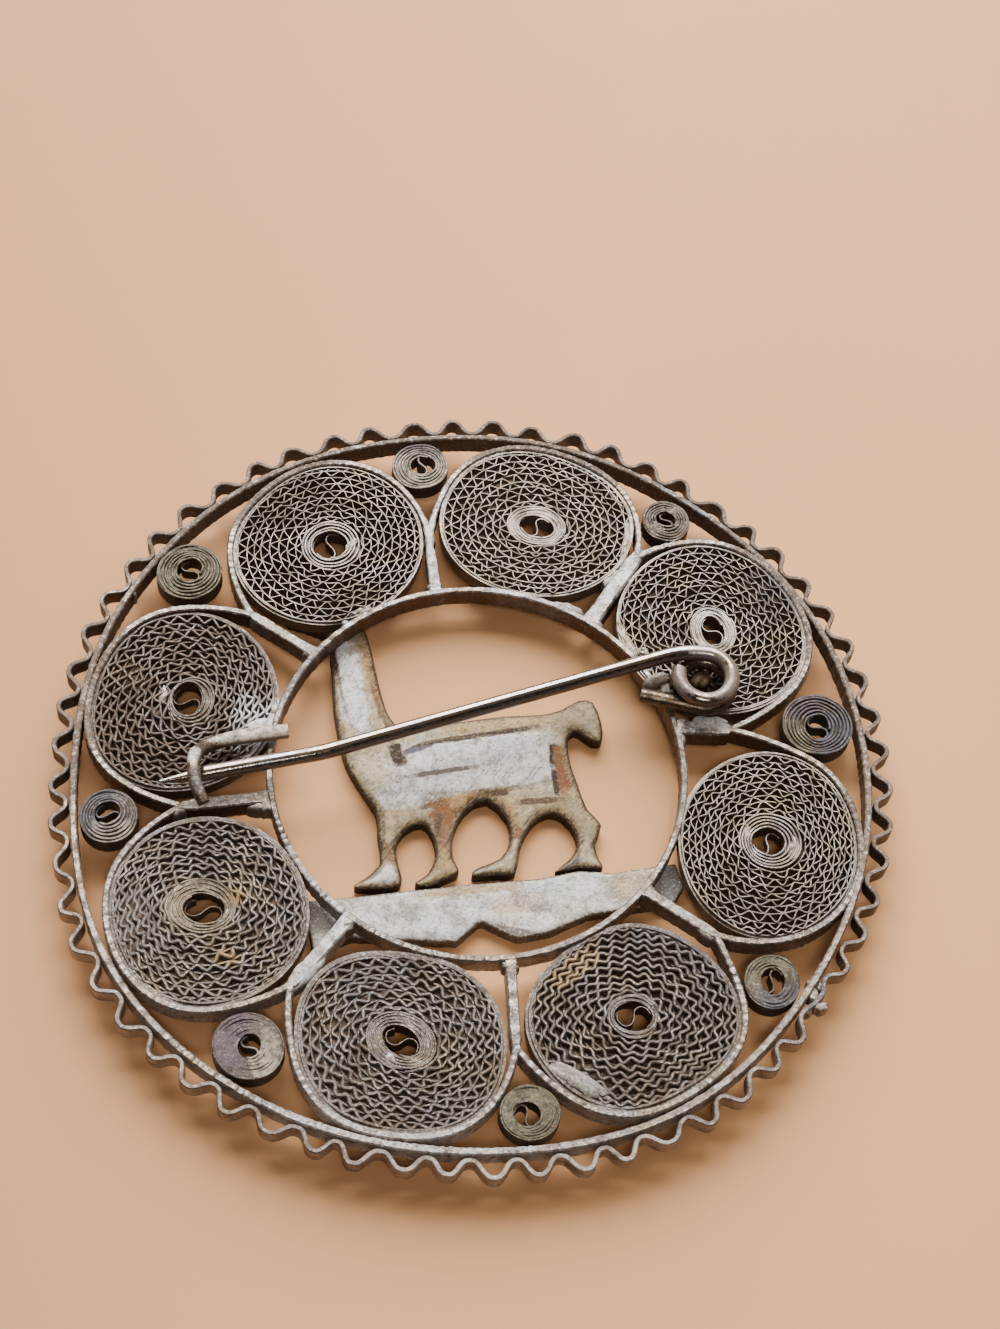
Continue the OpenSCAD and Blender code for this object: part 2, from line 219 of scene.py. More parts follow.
def floorPaper(plan):
    paper = Recipe("beigePaper")
    patch = paper.ramp(paper.noise(plan["patchSize"], detail=4), 0.35, 0.7)
    colour = paper.blend(patch, plan["floorColour"], plan["floorPatch"])
    begun, full = plan["shadeBetween"]
    # painted shade: the floor darker towards the left
    paintedShadeLeftward = paper.ramp(paper.part("Object", "X"), begun * mm, full * mm)
    paper.shade({"Base Color": paper.blend(paintedShadeLeftward, colour, plan["floorPaintedShade"]), "Roughness": 0.85})
    paper.bump(paper.noise(plan["grainSize"], detail=2), 0.01, 0.4)
    return paper.material


def layFloor(plan):
    half = plan["floorSize"] * mm / 2
    corners = [(-half, -half, 0), (half, -half, 0), (half, half, 0), (-half, half, 0)]
    mesh = bpy.data.meshes.new("benchTop")
    mesh.from_pydata(corners, [], [(0, 1, 2, 3)])
    top = putInScene("benchTop", mesh)
    mesh.materials.append(floorPaper(plan))


tarnishes = {
    "frost": (0.60, 0.60, 0.63),
    "pale": (0.44, 0.40, 0.33),
    "grey": (0.15, 0.14, 0.13),
    "slate": (0.06, 0.065, 0.09),
    "plum": (0.085, 0.063, 0.09),
    "moss": (0.12, 0.115, 0.06),
    "olive": (0.21, 0.165, 0.085),
    "ochre": (0.36, 0.23, 0.09),
    "rust": (0.17, 0.072, 0.028),
    "umber": (0.115, 0.082, 0.062),
    "brown": (0.07, 0.042, 0.026),
    "dark": (0.022, 0.016, 0.013),
}

# What the silver finishes share: how strongly tarnish, dark pits and the bright flecks show (bare silver
# and painted glints), gloss of what isn't metal, depth of the dents
usualLook = {
    "stained": 0.6,
    "pits": 0.6,
    "glintFlecks": 0.5,
    "gloss": 0.4,
    "dent": 0.04,
}

# top, wall: colours of the rubbed tops and of the walls, the walls darker with tarnish and with painted
# shade;
# wallBelowRubbedAndLit: of the walls at the lower end of the brooch, rubbed there too and lighter as a
# painted reflection of the lit floor; rim: of the slope filed round a sheet; filing: how strong the file
# marks are;
# stain, pit, glintFleck: colours of tarnish, of pits and of the bright flecks, bare silver and painted
# glints;
# blotch: width of the tarnish's blotches; metal: how metallic the tops are; rough: roughness of bright and
# of dull places
silverLooks = {
    "stripSilver": {
        "top": (0.23, 0.202, 0.18), "wall": (0.07, 0.04, 0.024), "wallBelowRubbedAndLit": (0.33, 0.29, 0.265),
        "stain": (0.08, 0.054, 0.038), "pit": (0.05, 0.032, 0.022), "glintFleck": (0.55, 0.53, 0.52),
        "pits": 0.65, "glintFlecks": 0.7, "blotch": 0.8, "metal": 0.8, "rough": (0.32, 0.58), "dent": 0.05},
    "edgeSilver": {
        "top": (0.18, 0.155, 0.14), "wall": (0.038, 0.024, 0.017), "wallBelowRubbedAndLit": (0.3, 0.265, 0.24),
        "stain": (0.065, 0.045, 0.034), "pit": (0.05, 0.034, 0.026), "glintFleck": (0.5, 0.47, 0.46),
        "pits": 0.55, "blotch": 1.2, "metal": 0.8, "rough": (0.3, 0.55), "dent": 0.03},
    "coilSilver": {
        "top": (0.215, 0.193, 0.176), "wall": (0.1, 0.066, 0.048), "stain": (0.075, 0.056, 0.04),
        "pit": (0.045, 0.03, 0.022), "glintFleck": (0.42, 0.39, 0.36), "stained": 0.5, "pits": 0.5,
        "blotch": 1.4, "metal": 0.75, "rough": (0.34, 0.55), "dent": 0.03},
    "coilDull": {
        "top": (0.12, 0.104, 0.097), "wall": (0.074, 0.048, 0.035), "stain": (0.06, 0.042, 0.03),
        "pit": (0.035, 0.022, 0.015), "glintFleck": (0.42, 0.4, 0.38), "blotch": 1.4, "metal": 0.7,
        "rough": (0.36, 0.6)},
    "rosetteSilver": {
        "top": (0.067, 0.054, 0.046), "wall": (0.04, 0.026, 0.018), "stain": (0.045, 0.035, 0.027),
        "pit": (0.03, 0.021, 0.016), "glintFleck": (0.26, 0.23, 0.20), "pits": 0.7, "blotch": 0.7, "metal": 0.5,
        "rough": (0.36, 0.58), "gloss": 0.3},
    "solderSilver": {
        "top": (0.29, 0.27, 0.255), "wall": (0.16, 0.13, 0.11), "stain": (0.15, 0.125, 0.10),
        "pit": (0.08, 0.06, 0.045), "glintFleck": (0.6, 0.58, 0.56), "stained": 0.5, "pits": 0.5, "blotch": 0.6,
        "metal": 0.55, "rough": (0.42, 0.6), "gloss": 0.3, "dent": 0.03},
    # dark brown of grime, also used as painted shade on the bed under the crimps
    "grimeAndShade": {
        "top": (0.075, 0.052, 0.035), "wall": (0.05, 0.034, 0.022), "stain": (0.045, 0.03, 0.02),
        "pit": (0.02, 0.014, 0.01), "glintFleck": (0.22, 0.18, 0.145), "glintFlecks": 0.4, "blotch": 0.5,
        "metal": 0.25, "rough": (0.5, 0.7), "gloss": 0.15, "dent": 0.05},
    "llamaSilver": {
        "top": (0.31, 0.25, 0.16), "wall": (0.025, 0.015, 0.01), "rim": (0.23, 0.17, 0.085),
        "stain": (0.11, 0.078, 0.045), "pit": (0.05, 0.033, 0.022), "glintFleck": (0.55, 0.54, 0.5),
        "stained": 0.45, "pits": 0.45, "glintFlecks": 0.15, "blotch": 0.6, "filing": 1.0, "metal": 0.12,
        "rough": (0.45, 0.65), "gloss": 0.2, "dent": 0.08},
    "plateSilver": {
        "top": (0.46, 0.455, 0.465), "wall": (0.045, 0.03, 0.02), "rim": (0.27, 0.25, 0.215),
        "stain": (0.17, 0.15, 0.125), "pit": (0.11, 0.09, 0.07), "glintFleck": (0.62, 0.62, 0.64),
        "stained": 0.7, "glintFlecks": 0.6, "blotch": 1.3, "filing": 0.25, "metal": 0.15, "rough": (0.5, 0.65),
        "gloss": 0.25, "dent": 0.09},
    "wireSilver": {
        "top": (0.13, 0.10, 0.075), "wall": (0.09, 0.06, 0.04), "stain": (0.045, 0.03, 0.02),
        "pit": (0.025, 0.017, 0.012), "glintFleck": (0.5, 0.47, 0.44), "stained": 0.65, "glintFlecks": 0.4,
        "blotch": 0.9, "metal": 0.9, "rough": (0.25, 0.42)},
    # the pin's dark wall colour paints the dark band along its lower side: a painted reflection of the dark
    # room in front
    "pinSteel": {
        "top": (0.36, 0.33, 0.31), "wall": (0.1, 0.075, 0.062), "stain": (0.13, 0.09, 0.065),
        "pit": (0.08, 0.055, 0.04), "glintFleck": (0.7, 0.68, 0.66), "stained": 0.45, "pits": 0.4,
        "glintFlecks": 0.2, "blotch": 1.3, "metal": 1.0, "rough": (0.08, 0.18), "gloss": 0.5, "dent": 0.012},
}

# Patches on each finish: of tarnish, of bare silver, of painted light and shade where noted, and some that
# only make a strip darker or paler
# columns: x, y, half length, half width, tilt, strength, tarnish
stains = {
    "stripSilver": [
        # the umber patches make the outer hoop darker along the top and sides of the brooch, and the frost
        # at (0, -23) paler along its bottom
        (0, 23.6, 16, 2.2, 0, 0.95, "umber"), (-17, 16, 9, 1.8, 48, 0.95, "umber"),
        (12.5, 20.5, 5, 0.9, -35, 0.7, "slate"), (-22.6, 3.2, 0.5, 1.1, 0, 0.8, "rust"),
        (-22.9, 0, 1.2, 9, -3, 0.85, "umber"), (18.5, 14.0, 10, 1.3, -54, 0.9, "umber"),
        (22.7, 3.0, 1.0, 6, 5, 0.7, "umber"), (0.5, 22.8, 4.5, 0.8, 0, 0.8, "umber"),
        # the frost at (13.7, 5.3) is frosted solder and also painted light, brightening a place the
        # spring's shadow falls on
        (-10.7, 5.0, 0.6, 3.0, -15, 0.6, "slate"), (13.7, 5.3, 1.2, 0.5, 5, 0.8, "frost"),
        (0, -23.0, 9, 1.2, 0, 0.4, "frost"), (-7.5, -9.3, 3.6, 0.6, -45, 0.75, "frost"),
        (3, 12.1, 4.5, 0.5, -8, 0.5, "frost"),
        (-3.9, 14.2, 0.7, 2.6, 12, 0.85, "frost"), (-12.4, 7.4, 2.6, 0.6, -33, 0.5, "pale"),
        (12.9, -1.5, 0.7, 4.5, 5, 0.5, "grey"), (13.2, -7.3, 2.6, 0.6, -32, 0.5, "pale"),
        (7.7, 15.0, 0.7, 2.6, -30, 0.6, "frost"), (-6.6, -13.0, 0.7, 2.4, -35, 0.7, "frost"),
    ],
    "edgeSilver": [
        # the umber patches make the crimped ribbon darker along the top and sides of the brooch, and the
        # pale one paler along its bottom
        (0, 24, 16, 2.8, 0, 0.95, "umber"), (-17, 17, 9, 2.4, 47, 0.9, "umber"),
        (17.5, 16.5, 11, 2.4, -47, 0.9, "umber"), (24.0, 2.0, 1.4, 9, 0, 0.75, "umber"),
        (21.2, -11.3, 1.6, 1.1, -60, 0.7, "slate"), (-24.0, 0, 1.4, 9, 0, 0.8, "umber"),
        (6, -23.2, 9, 1.2, 12, 0.4, "pale"),
    ],
    "coilSilver": [
        (17.0, 15.0, 2.3, 1.5, -50, 0.5, "slate"), (-8.7, 9.6, 1.6, 1.2, 30, 0.4, "brown"),
        (1.9, 17.4, 4.5, 4.5, 0, 0.4, "pale"), (13.0, 9.6, 3.5, 1.6, 10, 0.25, "pale"),
        (-13.5, 16.5, 2.5, 2.0, 40, 0.35, "brown"), (18.0, -6.0, 3.0, 1.2, 0, 0.25, "brown"),
    ],
    "coilDull": [
        (-17.3, -12.6, 2.0, 1.9, 0, 0.5, "grey"), (-11.7, -14.0, 0.7, 0.5, 0, 0.7, "ochre"),
        (-12.1, -10.3, 0.6, 0.5, 0, 0.7, "ochre"), (-20.5, 0.2, 1.6, 3.6, 0, 0.6, "brown"),
        (-17.2, 1.7, 5.6, 5.6, 0, 0.35, "brown"),
        (7.5, -11.6, 1.6, 0.6, 50, 0.6, "ochre"), (-12.3, 0.8, 1.8, 1.9, 0, 0.7, "frost"),
        (-5.0, -20.0, 2.4, 1.2, -30, 0.4, "grey"), (-18.3, -2.6, 3.0, 1.6, 0, 0.6, "brown"),
        (-16.5, 5.6, 2.6, 1.2, 0, 0.5, "brown"), (13.0, -9.6, 2.6, 1.0, -10, 0.35, "slate"),
        (-13.8, -11.3, 2.1, 1.9, 0, 0.4, "olive"), (-3.5, -14.0, 2.4, 1.0, 20, 0.4, "slate"),
        (12.5, -17.6, 3.0, 1.2, 10, 0.45, "brown"),
    ],
    "rosetteSilver": [
        (-5.85, 20.2, 2.2, 1.6, 0, 0.4, "pale"), (-6.2, 22.0, 1.6, 0.6, 0, 0.5, "plum"),
        (21.2, 5.6, 1.3, 1.8, 20, 0.75, "slate"), (18.9, 5.0, 0.9, 1.4, -20, 0.6, "moss"),
        (19.3, 7.4, 1.2, 0.8, 30, 0.6, "plum"), (18.0, -9.8, 1.6, 1.1, 20, 0.6, "moss"),
        (19.2, -11.7, 1.3, 0.8, 20, 0.55, "slate"), (6.0, -20.4, 1.8, 1.8, 0, 0.5, "moss"),
        (-10.9, -18.6, 1.1, 2.0, 0, 0.7, "plum"), (-8.7, -19.4, 0.9, 1.3, 20, 0.5, "pale"),
        (-20.9, -6.2, 1.0, 1.8, 0, 0.7, "slate"), (-19.3, -7.4, 1.4, 0.8, 0, 0.4, "pale"),
        (-18.5, 10.45, 2.2, 2.2, 0, 0.4, "moss"),
    ],
    "solderSilver": [
        (8.5, -18.15, 2.4, 0.8, -20, 0.5, "grey"), (10.4, 7.0, 1.2, 0.9, 0, 0.5, "pale"),
        # the frost at (13.7, 5.35) is frosted solder and also painted light, brightening a place the
        # spring's shadow falls on
        (13.7, 5.35, 1.6, 0.7, 6, 0.95, "frost"), (-7.3, -14.0, 2.2, 0.9, 57, 0.7, "frost"),
        (7.1, 13.7, 2.0, 0.7, 58, 0.6, "frost"), (-12.3, 0.75, 1.4, 0.8, 14, 0.8, "frost"),
    ],
    "llamaSilver": [
        (-5.0, -0.6, 2.2, 1.6, 15, 0.6, "pale"), (0.5, 1.1, 4.9, 1.85, 15, 0.85, "frost"),
        (-3.4, -1.7, 1.6, 0.8, 20, 0.7, "frost"), (-7.9, 5.0, 3.5, 0.85, -72, 1.0, "frost"),
        (-6.35, 5.6, 2.8, 0.42, -68, 1.0, "rust"), (-6.9, 6.3, 0.9, 0.25, -70, 0.8, "ochre"),
        (-5.25, 3.2, 1.1, 0.38, -60, 0.95, "brown"), (-7.7, 7.7, 0.8, 0.35, 30, 0.7, "olive"),
        (-7.5, 2.1, 0.7, 0.35, -30, 0.7, "ochre"), (-4.35, 0.85, 0.4, 0.75, 25, 1.0, "dark"),
        (-3.1, 1.55, 1.1, 0.24, 32, 0.95, "slate"), (0.2, 2.9, 3.6, 0.2, 19, 1.0, "dark"),
        (4.85, 2.3, 0.8, 0.3, -82, 1.0, "dark"), (5.45, 1.4, 1.7, 0.45, -78, 1.0, "rust"),
        (5.15, 0.5, 0.9, 0.18, -75, 0.95, "dark"), (-1.5, 0.15, 2.1, 0.17, 19, 0.9, "brown"),
        (1.9, -0.7, 0.55, 0.2, 15, 0.95, "dark"), (0.2, -1.3, 2.8, 0.2, 22, 0.95, "brown"),
        (4.3, -0.85, 1.4, 0.2, 14, 0.95, "brown"), (1.4, 3.9, 3.2, 0.4, 19, 0.5, "ochre"),
        (5.6, 5.2, 1.5, 0.8, 30, 0.6, "olive"), (6.7, -1.6, 1.5, 0.9, -20, 0.55, "olive"),
        (-0.9, -2.4, 1.0, 0.85, 10, 1.0, "rust"), (-0.1, -1.5, 0.9, 0.4, 25, 0.8, "ochre"),
        (-0.85, -4.0, 0.5, 1.2, 5, 0.85, "rust"), (-0.6, -5.4, 0.6, 0.7, 0, 0.7, "ochre"),
        (-1.35, -3.4, 0.22, 0.9, 0, 0.9, "brown"), (2.7, -1.9, 0.9, 0.45, -50, 0.7, "ochre"),
        (3.45, -3.1, 0.32, 0.4, 0, 0.95, "rust"), (3.3, -4.7, 0.4, 1.1, 10, 0.7, "pale"),
        (1.9, -6.0, 0.8, 0.4, 10, 0.7, "pale"), (-3.75, -5.6, 0.5, 0.6, 0, 0.8, "rust"),
        (-4.0, -7.0, 1.0, 0.7, 0, 0.75, "frost"), (-4.6, -4.2, 0.3, 1.4, 10, 0.6, "brown"),
        (6.5, -4.5, 0.8, 0.4, 25, 0.9, "slate"), (7.6, -4.4, 0.5, 0.4, 0, 0.6, "pale"),
        (-6.6, -1.3, 0.3, 1.8, 42, 0.6, "brown"),
    ],
    "plateSilver": [
        (1.0, -7.0, 3.0, 0.4, 15, 0.75, "ochre"), (7.7, -5.9, 1.3, 0.9, 15, 0.7, "frost"),
        (10.4, -5.2, 1.6, 1.0, 15, 0.6, "ochre"), (-2.0, -9.2, 3.4, 1.0, 8, 0.6, "frost"),
        (4.3, -9.3, 1.8, 0.25, -5, 0.8, "brown"), (-7.4, -10.3, 1.0, 0.9, 0, 0.6, "grey"),
        (12.6, -4.8, 1.1, 1.2, 0, 0.8, "grey"), (4.0, -7.4, 1.6, 0.7, 15, 0.4, "ochre"),
    ],
    "wireSilver": [
        # the frost patch on the catch's arch is a painted highlight, and the slate patch where it runs down
        # to the tip painted shade
        (-12.6, -0.2, 2.2, 0.7, 20, 0.8, "pale"), (-15.6, -3.1, 0.4, 0.7, 0, 0.7, "frost"),
        (-15.1, -4.9, 0.5, 0.8, 10, 0.5, "slate"),
    ],
    "pinSteel": [
        (13.6, 7.0, 2.3, 1.1, 0, 0.85, "umber"), (15.3, 7.9, 0.7, 1.4, 10, 0.8, "umber"),
        (13.5, 9.0, 1.6, 0.7, 10, 0.4, "grey"), (-9.8, -0.7, 0.7, 1, 0, 0.5, "slate"),
        (-13.5, -2.0, 2.6, 1.0, 15, 0.5, "brown"),
    ],
}


# Clouds of noise on the silver; the sizes are in millimetres
clouds = {
    "speck": {"size": 0.2, "detail": 4, "rough": 0.7, "seed": 7.7},
    "border": {"size": 0.45, "detail": 4, "rough": 0.7, "seed": 5.2},   # of the patches
    "drift": {"size": 2.4, "detail": 2, "seed": 9.4},                   # slow change of the tops' colour
    "fileMark": {"size": 0.13, "detail": 2, "longer": 7, "turn": 62, "seed": 4.3},
    "worn": {"size": 1.6, "detail": 2, "seed": 6.1},                    # where file marks cross the flat
    "glintFleck": {"size": 0.16, "detail": 2, "seed": 2.6},
    "dent": {"size": 0.22, "detail": 3, "seed": 1.3},
}
lowerEnd = (-6, -15)   # where the lower end of the brooch begins and where its walls are at their lightest: rubbed, and with a painted reflection of the lit floor


def agedSilver(name, look, patches):
    silver = Recipe(name)
    blotch = silver.noise(look["blotch"], detail=5, rough=0.65, seed=3.1)
    speck = silver.noise(**clouds["speck"])
    border = silver.ramp(silver.noise(**clouds["border"]), 0.3, 0.7, -0.55, 0.55)

    def facingUp(uneven):
        # 1 on faces that look straight up, 0 on upright walls, more or less by the specks
        return silver.maths("ADD", silver.part("Normal", "Z"), silver.ramp(speck, 0, 1, -uneven, uneven))

    # tops take the top colour and walls the darker wall colour: tarnish kept in the hollows, and painted
    # shade on the walls
    rubbed = silver.ramp(facingUp(0.2), 0.35, 0.85)
    red, green, blue = look["top"]
    drift = silver.ramp(silver.noise(**clouds["drift"]), 0.35, 0.65)
    top = silver.blend(drift, (red * 1.06, green, blue * 0.82), (red * 0.92, green * 0.98, blue * 1.1))
    wall = look["wall"]
    # the walls at the lower end are made lighter: rubbed there, and a painted reflection of the lit floor
    if "wallBelowRubbedAndLit" in look:
        begun, full = lowerEnd
        below = silver.ramp(silver.part("Object", "Y"), begun * mm, full * mm)
        wall = silver.blend(below, wall, look["wallBelowRubbedAndLit"])
    body = silver.blend(rubbed, wall, top)
    shown = silver.ramp(rubbed, 0, 1, 0.25, 1)
    covered = 0.0
    for x, y, length, width, tilt, strength, tint in patches:
        patch = silver.maths("MULTIPLY", silver.spot((x, y), (length, width), tilt, border), strength)
        body = silver.blend(silver.maths("MULTIPLY", patch, shown), body, tarnishes[tint])
        covered = silver.maths("MAXIMUM", covered, patch)
    if "rim" in look:
        marks = silver.ramp(silver.noise(**clouds["fileMark"]), 0.5, 0.6, 0, look["filing"])
        filed = silver.blend(marks, look["rim"], look["pit"])
        sloped = facingUp(0.03)
        body = silver.blend(silver.ramp(sloped, 0.98, 0.93, 0, 0.85), body, filed)
        # the steepest slopes take the dark wall colour: painted shade along the sheet's outline
        body = silver.blend(silver.ramp(sloped, 0.91, 0.86, 0, 0.9), body, wall)
        worn = silver.ramp(silver.noise(**clouds["worn"]), 0.45, 0.6, 0, 0.5)
        body = silver.blend(silver.maths("MULTIPLY", marks, worn), body, look["pit"])
    dirt = silver.maths("MULTIPLY", silver.ramp(blotch, 0.48, 0.62), look["stained"])
    body = silver.blend(dirt, body, look["stain"])
    # bright flecks on the tops: bare silver, and painted glints
    glintFleck = silver.maths("MULTIPLY", silver.ramp(silver.noise(**clouds["glintFleck"]), 0.56, 0.66), shown)
    body = silver.blend(silver.maths("MULTIPLY", glintFleck, look["glintFlecks"]), body, look["glintFleck"])
    body = silver.blend(silver.ramp(speck, 0.52, 0.62, 0.0, look["pits"]), body, look["pit"])
    bare = silver.ramp(covered, 0, 1, 1, 0.15)
    smooth, dull = look["rough"]
    roughness = silver.ramp(blotch, 0.35, 0.65, smooth, dull)
    silver.shade({
        "Base Color": body,
        "Metallic": silver.maths("MULTIPLY", silver.ramp(rubbed, 0, 1, 0.4, look["metal"]), bare),
        "Roughness": silver.maths("ADD", roughness, silver.ramp(covered, 0, 1, 0, 0.25)),
        "Specular IOR Level": look["gloss"],
    })
    silver.bump(silver.noise(**clouds["dent"]), look["dent"], 0.7)
    return silver.material


# Mesh helpers

def newPile():
    # corners and faces of one piece, gathered strip by strip, each face with the number of its finish
    return {"corners": [], "faces": [], "finishes": [], "count": 0}


def addPart(pile, corners, faces, finish=0):
    pile["corners"].append(np.asarray(corners, float))
    pile["faces"].extend((np.asarray(faces, int) + pile["count"]).tolist())
    pile["finishes"].extend([finish] * len(faces))
    pile["count"] += len(corners)


def makePiece(pile, name, finishNames, node):
    corners = np.concatenate(pile["corners"])
    corners = (corners + np.array([*hoopAt, 0])) * mm
    mesh = bpy.data.meshes.new(name)
    mesh.from_pydata(corners.tolist(), [], pile["faces"])
    for finishName in finishNames:
        mesh.materials.append(finishes[finishName])
    mesh.polygons.foreach_set("material_index", pile["finishes"])
    showPiece(mesh, name, node, sharp=40)


def showPiece(mesh, name, node, sharp):
    # edges bent by more than sharp degrees stay sharp; the piece stands for the CAD node
    mesh.polygons.foreach_set("use_smooth", [True] * len(mesh.polygons))
    mesh.set_sharp_from_angle(angle=math.radians(sharp))
    piece = putInScene(name, mesh)
    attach(piece, "root")
    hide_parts(node)


def sideways(path, closed):
    if closed:
        along = np.roll(path, -1, 0) - np.roll(path, 1, 0)
    else:
        along = np.gradient(path, axis=0)
    length = np.maximum(np.linalg.norm(along, axis=1), 1e-9)
    return np.stack([along[:, 1], -along[:, 0]], 1) / length[:, None]


def loopFaces(rings, around, closed):
    # quads between neighbouring rings of a tube
    last = rings if closed else rings - 1
    i = np.arange(last)[:, None]
    j = np.arange(around)[None, :]
    k = (i + 1) % rings
    m = (j + 1) % around
    i, j, k, m = np.broadcast_arrays(i, j, k, m)
    return np.stack([i * around + j, i * around + m, k * around + m, k * around + j], -1).reshape(-1, 4)


def addStrip(pile, path, width, low, high, closed=False, edge=0.22):
    # a strip on edge along a flat path, with its two upper edges rubbed round
    path = np.asarray(path, float)
    n = len(path)
    width = np.broadcast_to(np.asarray(width, float), n)
    low = np.broadcast_to(np.asarray(low, float), n)
    high = np.broadcast_to(np.asarray(high, float), n)
    out = sideways(path, closed)
    bevel = width * edge
    section = [(-0.5, low), (-0.5, high - bevel), (-0.5 + edge, high),
               (0.5 - edge, high), (0.5, high - bevel), (0.5, low)]
    rings = [np.column_stack([path + out * (width * across)[:, None], z]) for across, z in section]
    faces = loopFaces(n, len(section), closed)
    if not closed:
        e = (n - 1) * len(section)
        ends = [[5, 4, 1, 0], [4, 3, 2, 1], [e, e + 1, e + 4, e + 5], [e + 1, e + 2, e + 3, e + 4]]
        faces = np.vstack([faces, ends])
    addPart(pile, np.stack(rings, 1).reshape(-1, 3), faces)


def addBand(pile, inner, outer, low, high, finish=0):
    # a flat ring between two closed paths
    n = len(inner)
    high = np.broadcast_to(high, n)
    rings = [np.column_stack([inner, np.full(n, low)]), np.column_stack([outer, np.full(n, low)]),
             np.column_stack([outer, high]), np.column_stack([inner, high])]
    addPart(pile, np.stack(rings, 1).reshape(-1, 3), loopFaces(n, 4, True), finish)


def unitBall(fineness):
    ball = bmesh.new()
    bmesh.ops.create_icosphere(ball, subdivisions=fineness, radius=1)
    corners = np.array([v.co[:] for v in ball.verts])
    faces = np.array([[v.index for v in face.verts] for face in ball.faces])
    ball.free()
    return corners, faces


def ripples(rng, size, longest, shortest, count=9):
    # gentle random waves over a flat place
    length = rng.uniform(shortest, longest, count)
    heading = rng.uniform(0, fullTurn, count)
    shift = rng.uniform(0, fullTurn, count)

    def at(x, y):
        waves = [np.sin(fullTurn / l * (x * math.cos(h) + y * math.sin(h)) + s)
                 for l, h, s in zip(length, heading, shift)]
        return size * sum(waves) / math.sqrt(count)

    return at


def addLumps(pile, rng, places, low, finish=1, fineness=4, flat=0.4):
    # runs of solder or grime: flattened balls with ragged outlines and uneven tops
    for x, y, length, width, tilt, high, uneven in places:
        corners, faces = unitBall(fineness)
        around = np.arctan2(corners[:, 1], corners[:, 0])
        rim = 1 + sum(0.2 / k * np.sin(k * around + rng.uniform(0, fullTurn)) for k in range(2, 9))
        tall = np.sign(corners[:, 2]) * np.abs(corners[:, 2]) ** flat
        along = corners[:, 0] * length * rim
        across = corners[:, 1] * width * rim
        turned = math.radians(tilt)
        placed = np.column_stack([
            x + along * math.cos(turned) - across * math.sin(turned),
            y + along * math.sin(turned) + across * math.cos(turned),
            (low + high) / 2 + (high - low) / 2 * tall,
        ])
        rippled = ripples(rng, uneven, 1.1, 0.3)(placed[:, 0], placed[:, 1])
        placed[:, 2] += rippled * np.clip(tall, 0, 1) ** 2
        addPart(pile, placed, faces, finish)


def wander(rng, size, slowest, fastest, count=5):
    # a smooth random wave: a few sines of different lengths
    rates = rng.uniform(slowest, fastest, count)
    shifts = rng.uniform(0, fullTurn, count)

    def at(x):
        return size * sum(np.sin(rate * x + shift) for rate, shift in zip(rates, shifts)) / math.sqrt(count)

    return at


def smoothPath(points, steps):
    # a flowing line through given points
    points = np.asarray(points, float)
    around = np.vstack([points[:1], points, points[-1:]])
    flowing = []
    for i in range(len(points) - 1):
        a, b, c, d = around[i:i + 4]
        for t in np.arange(steps) / steps:
            bend = 2 * a - 5 * b + 4 * c - d + t * (3 * b - a - 3 * c + d)
            flowing.append(b + t / 2 * (c - a + t * bend))
    flowing.append(points[-1])
    return np.array(flowing)


# The eight coils

# What the coils share, and what the other values of one mean
usualCoil = {
    "rows": 8,             # turns of crimped ribbon outside the close ring; wave is the length of a crimp
    "ribbon": 0.085,       # thickness of the crimped ribbon
    "swing": 0.42,         # how far its crimps swing, as a share of the room between two turns
    "lean": 0.25,          # how far they lean
    "skew": 0.3,           # and how unevenly
    "crimpFrom": -0.95,    # the turn where crimping starts
    "sunk": 0.14,          # how far the plain ribbon's top lies below the crimped one's; film is the same for the solder in the ring, bed for the bed of grime that also stands in as painted shade, seam for the solder along the petal
                           # same for the solder in the ring, bed for the grime, seam for the solder
                           # along the petal
    "finish": "coilDull",
    "floods": [],          # solder and grime: x, y, half length, half width, tilt, top, uneven
    "grimed": [],
}

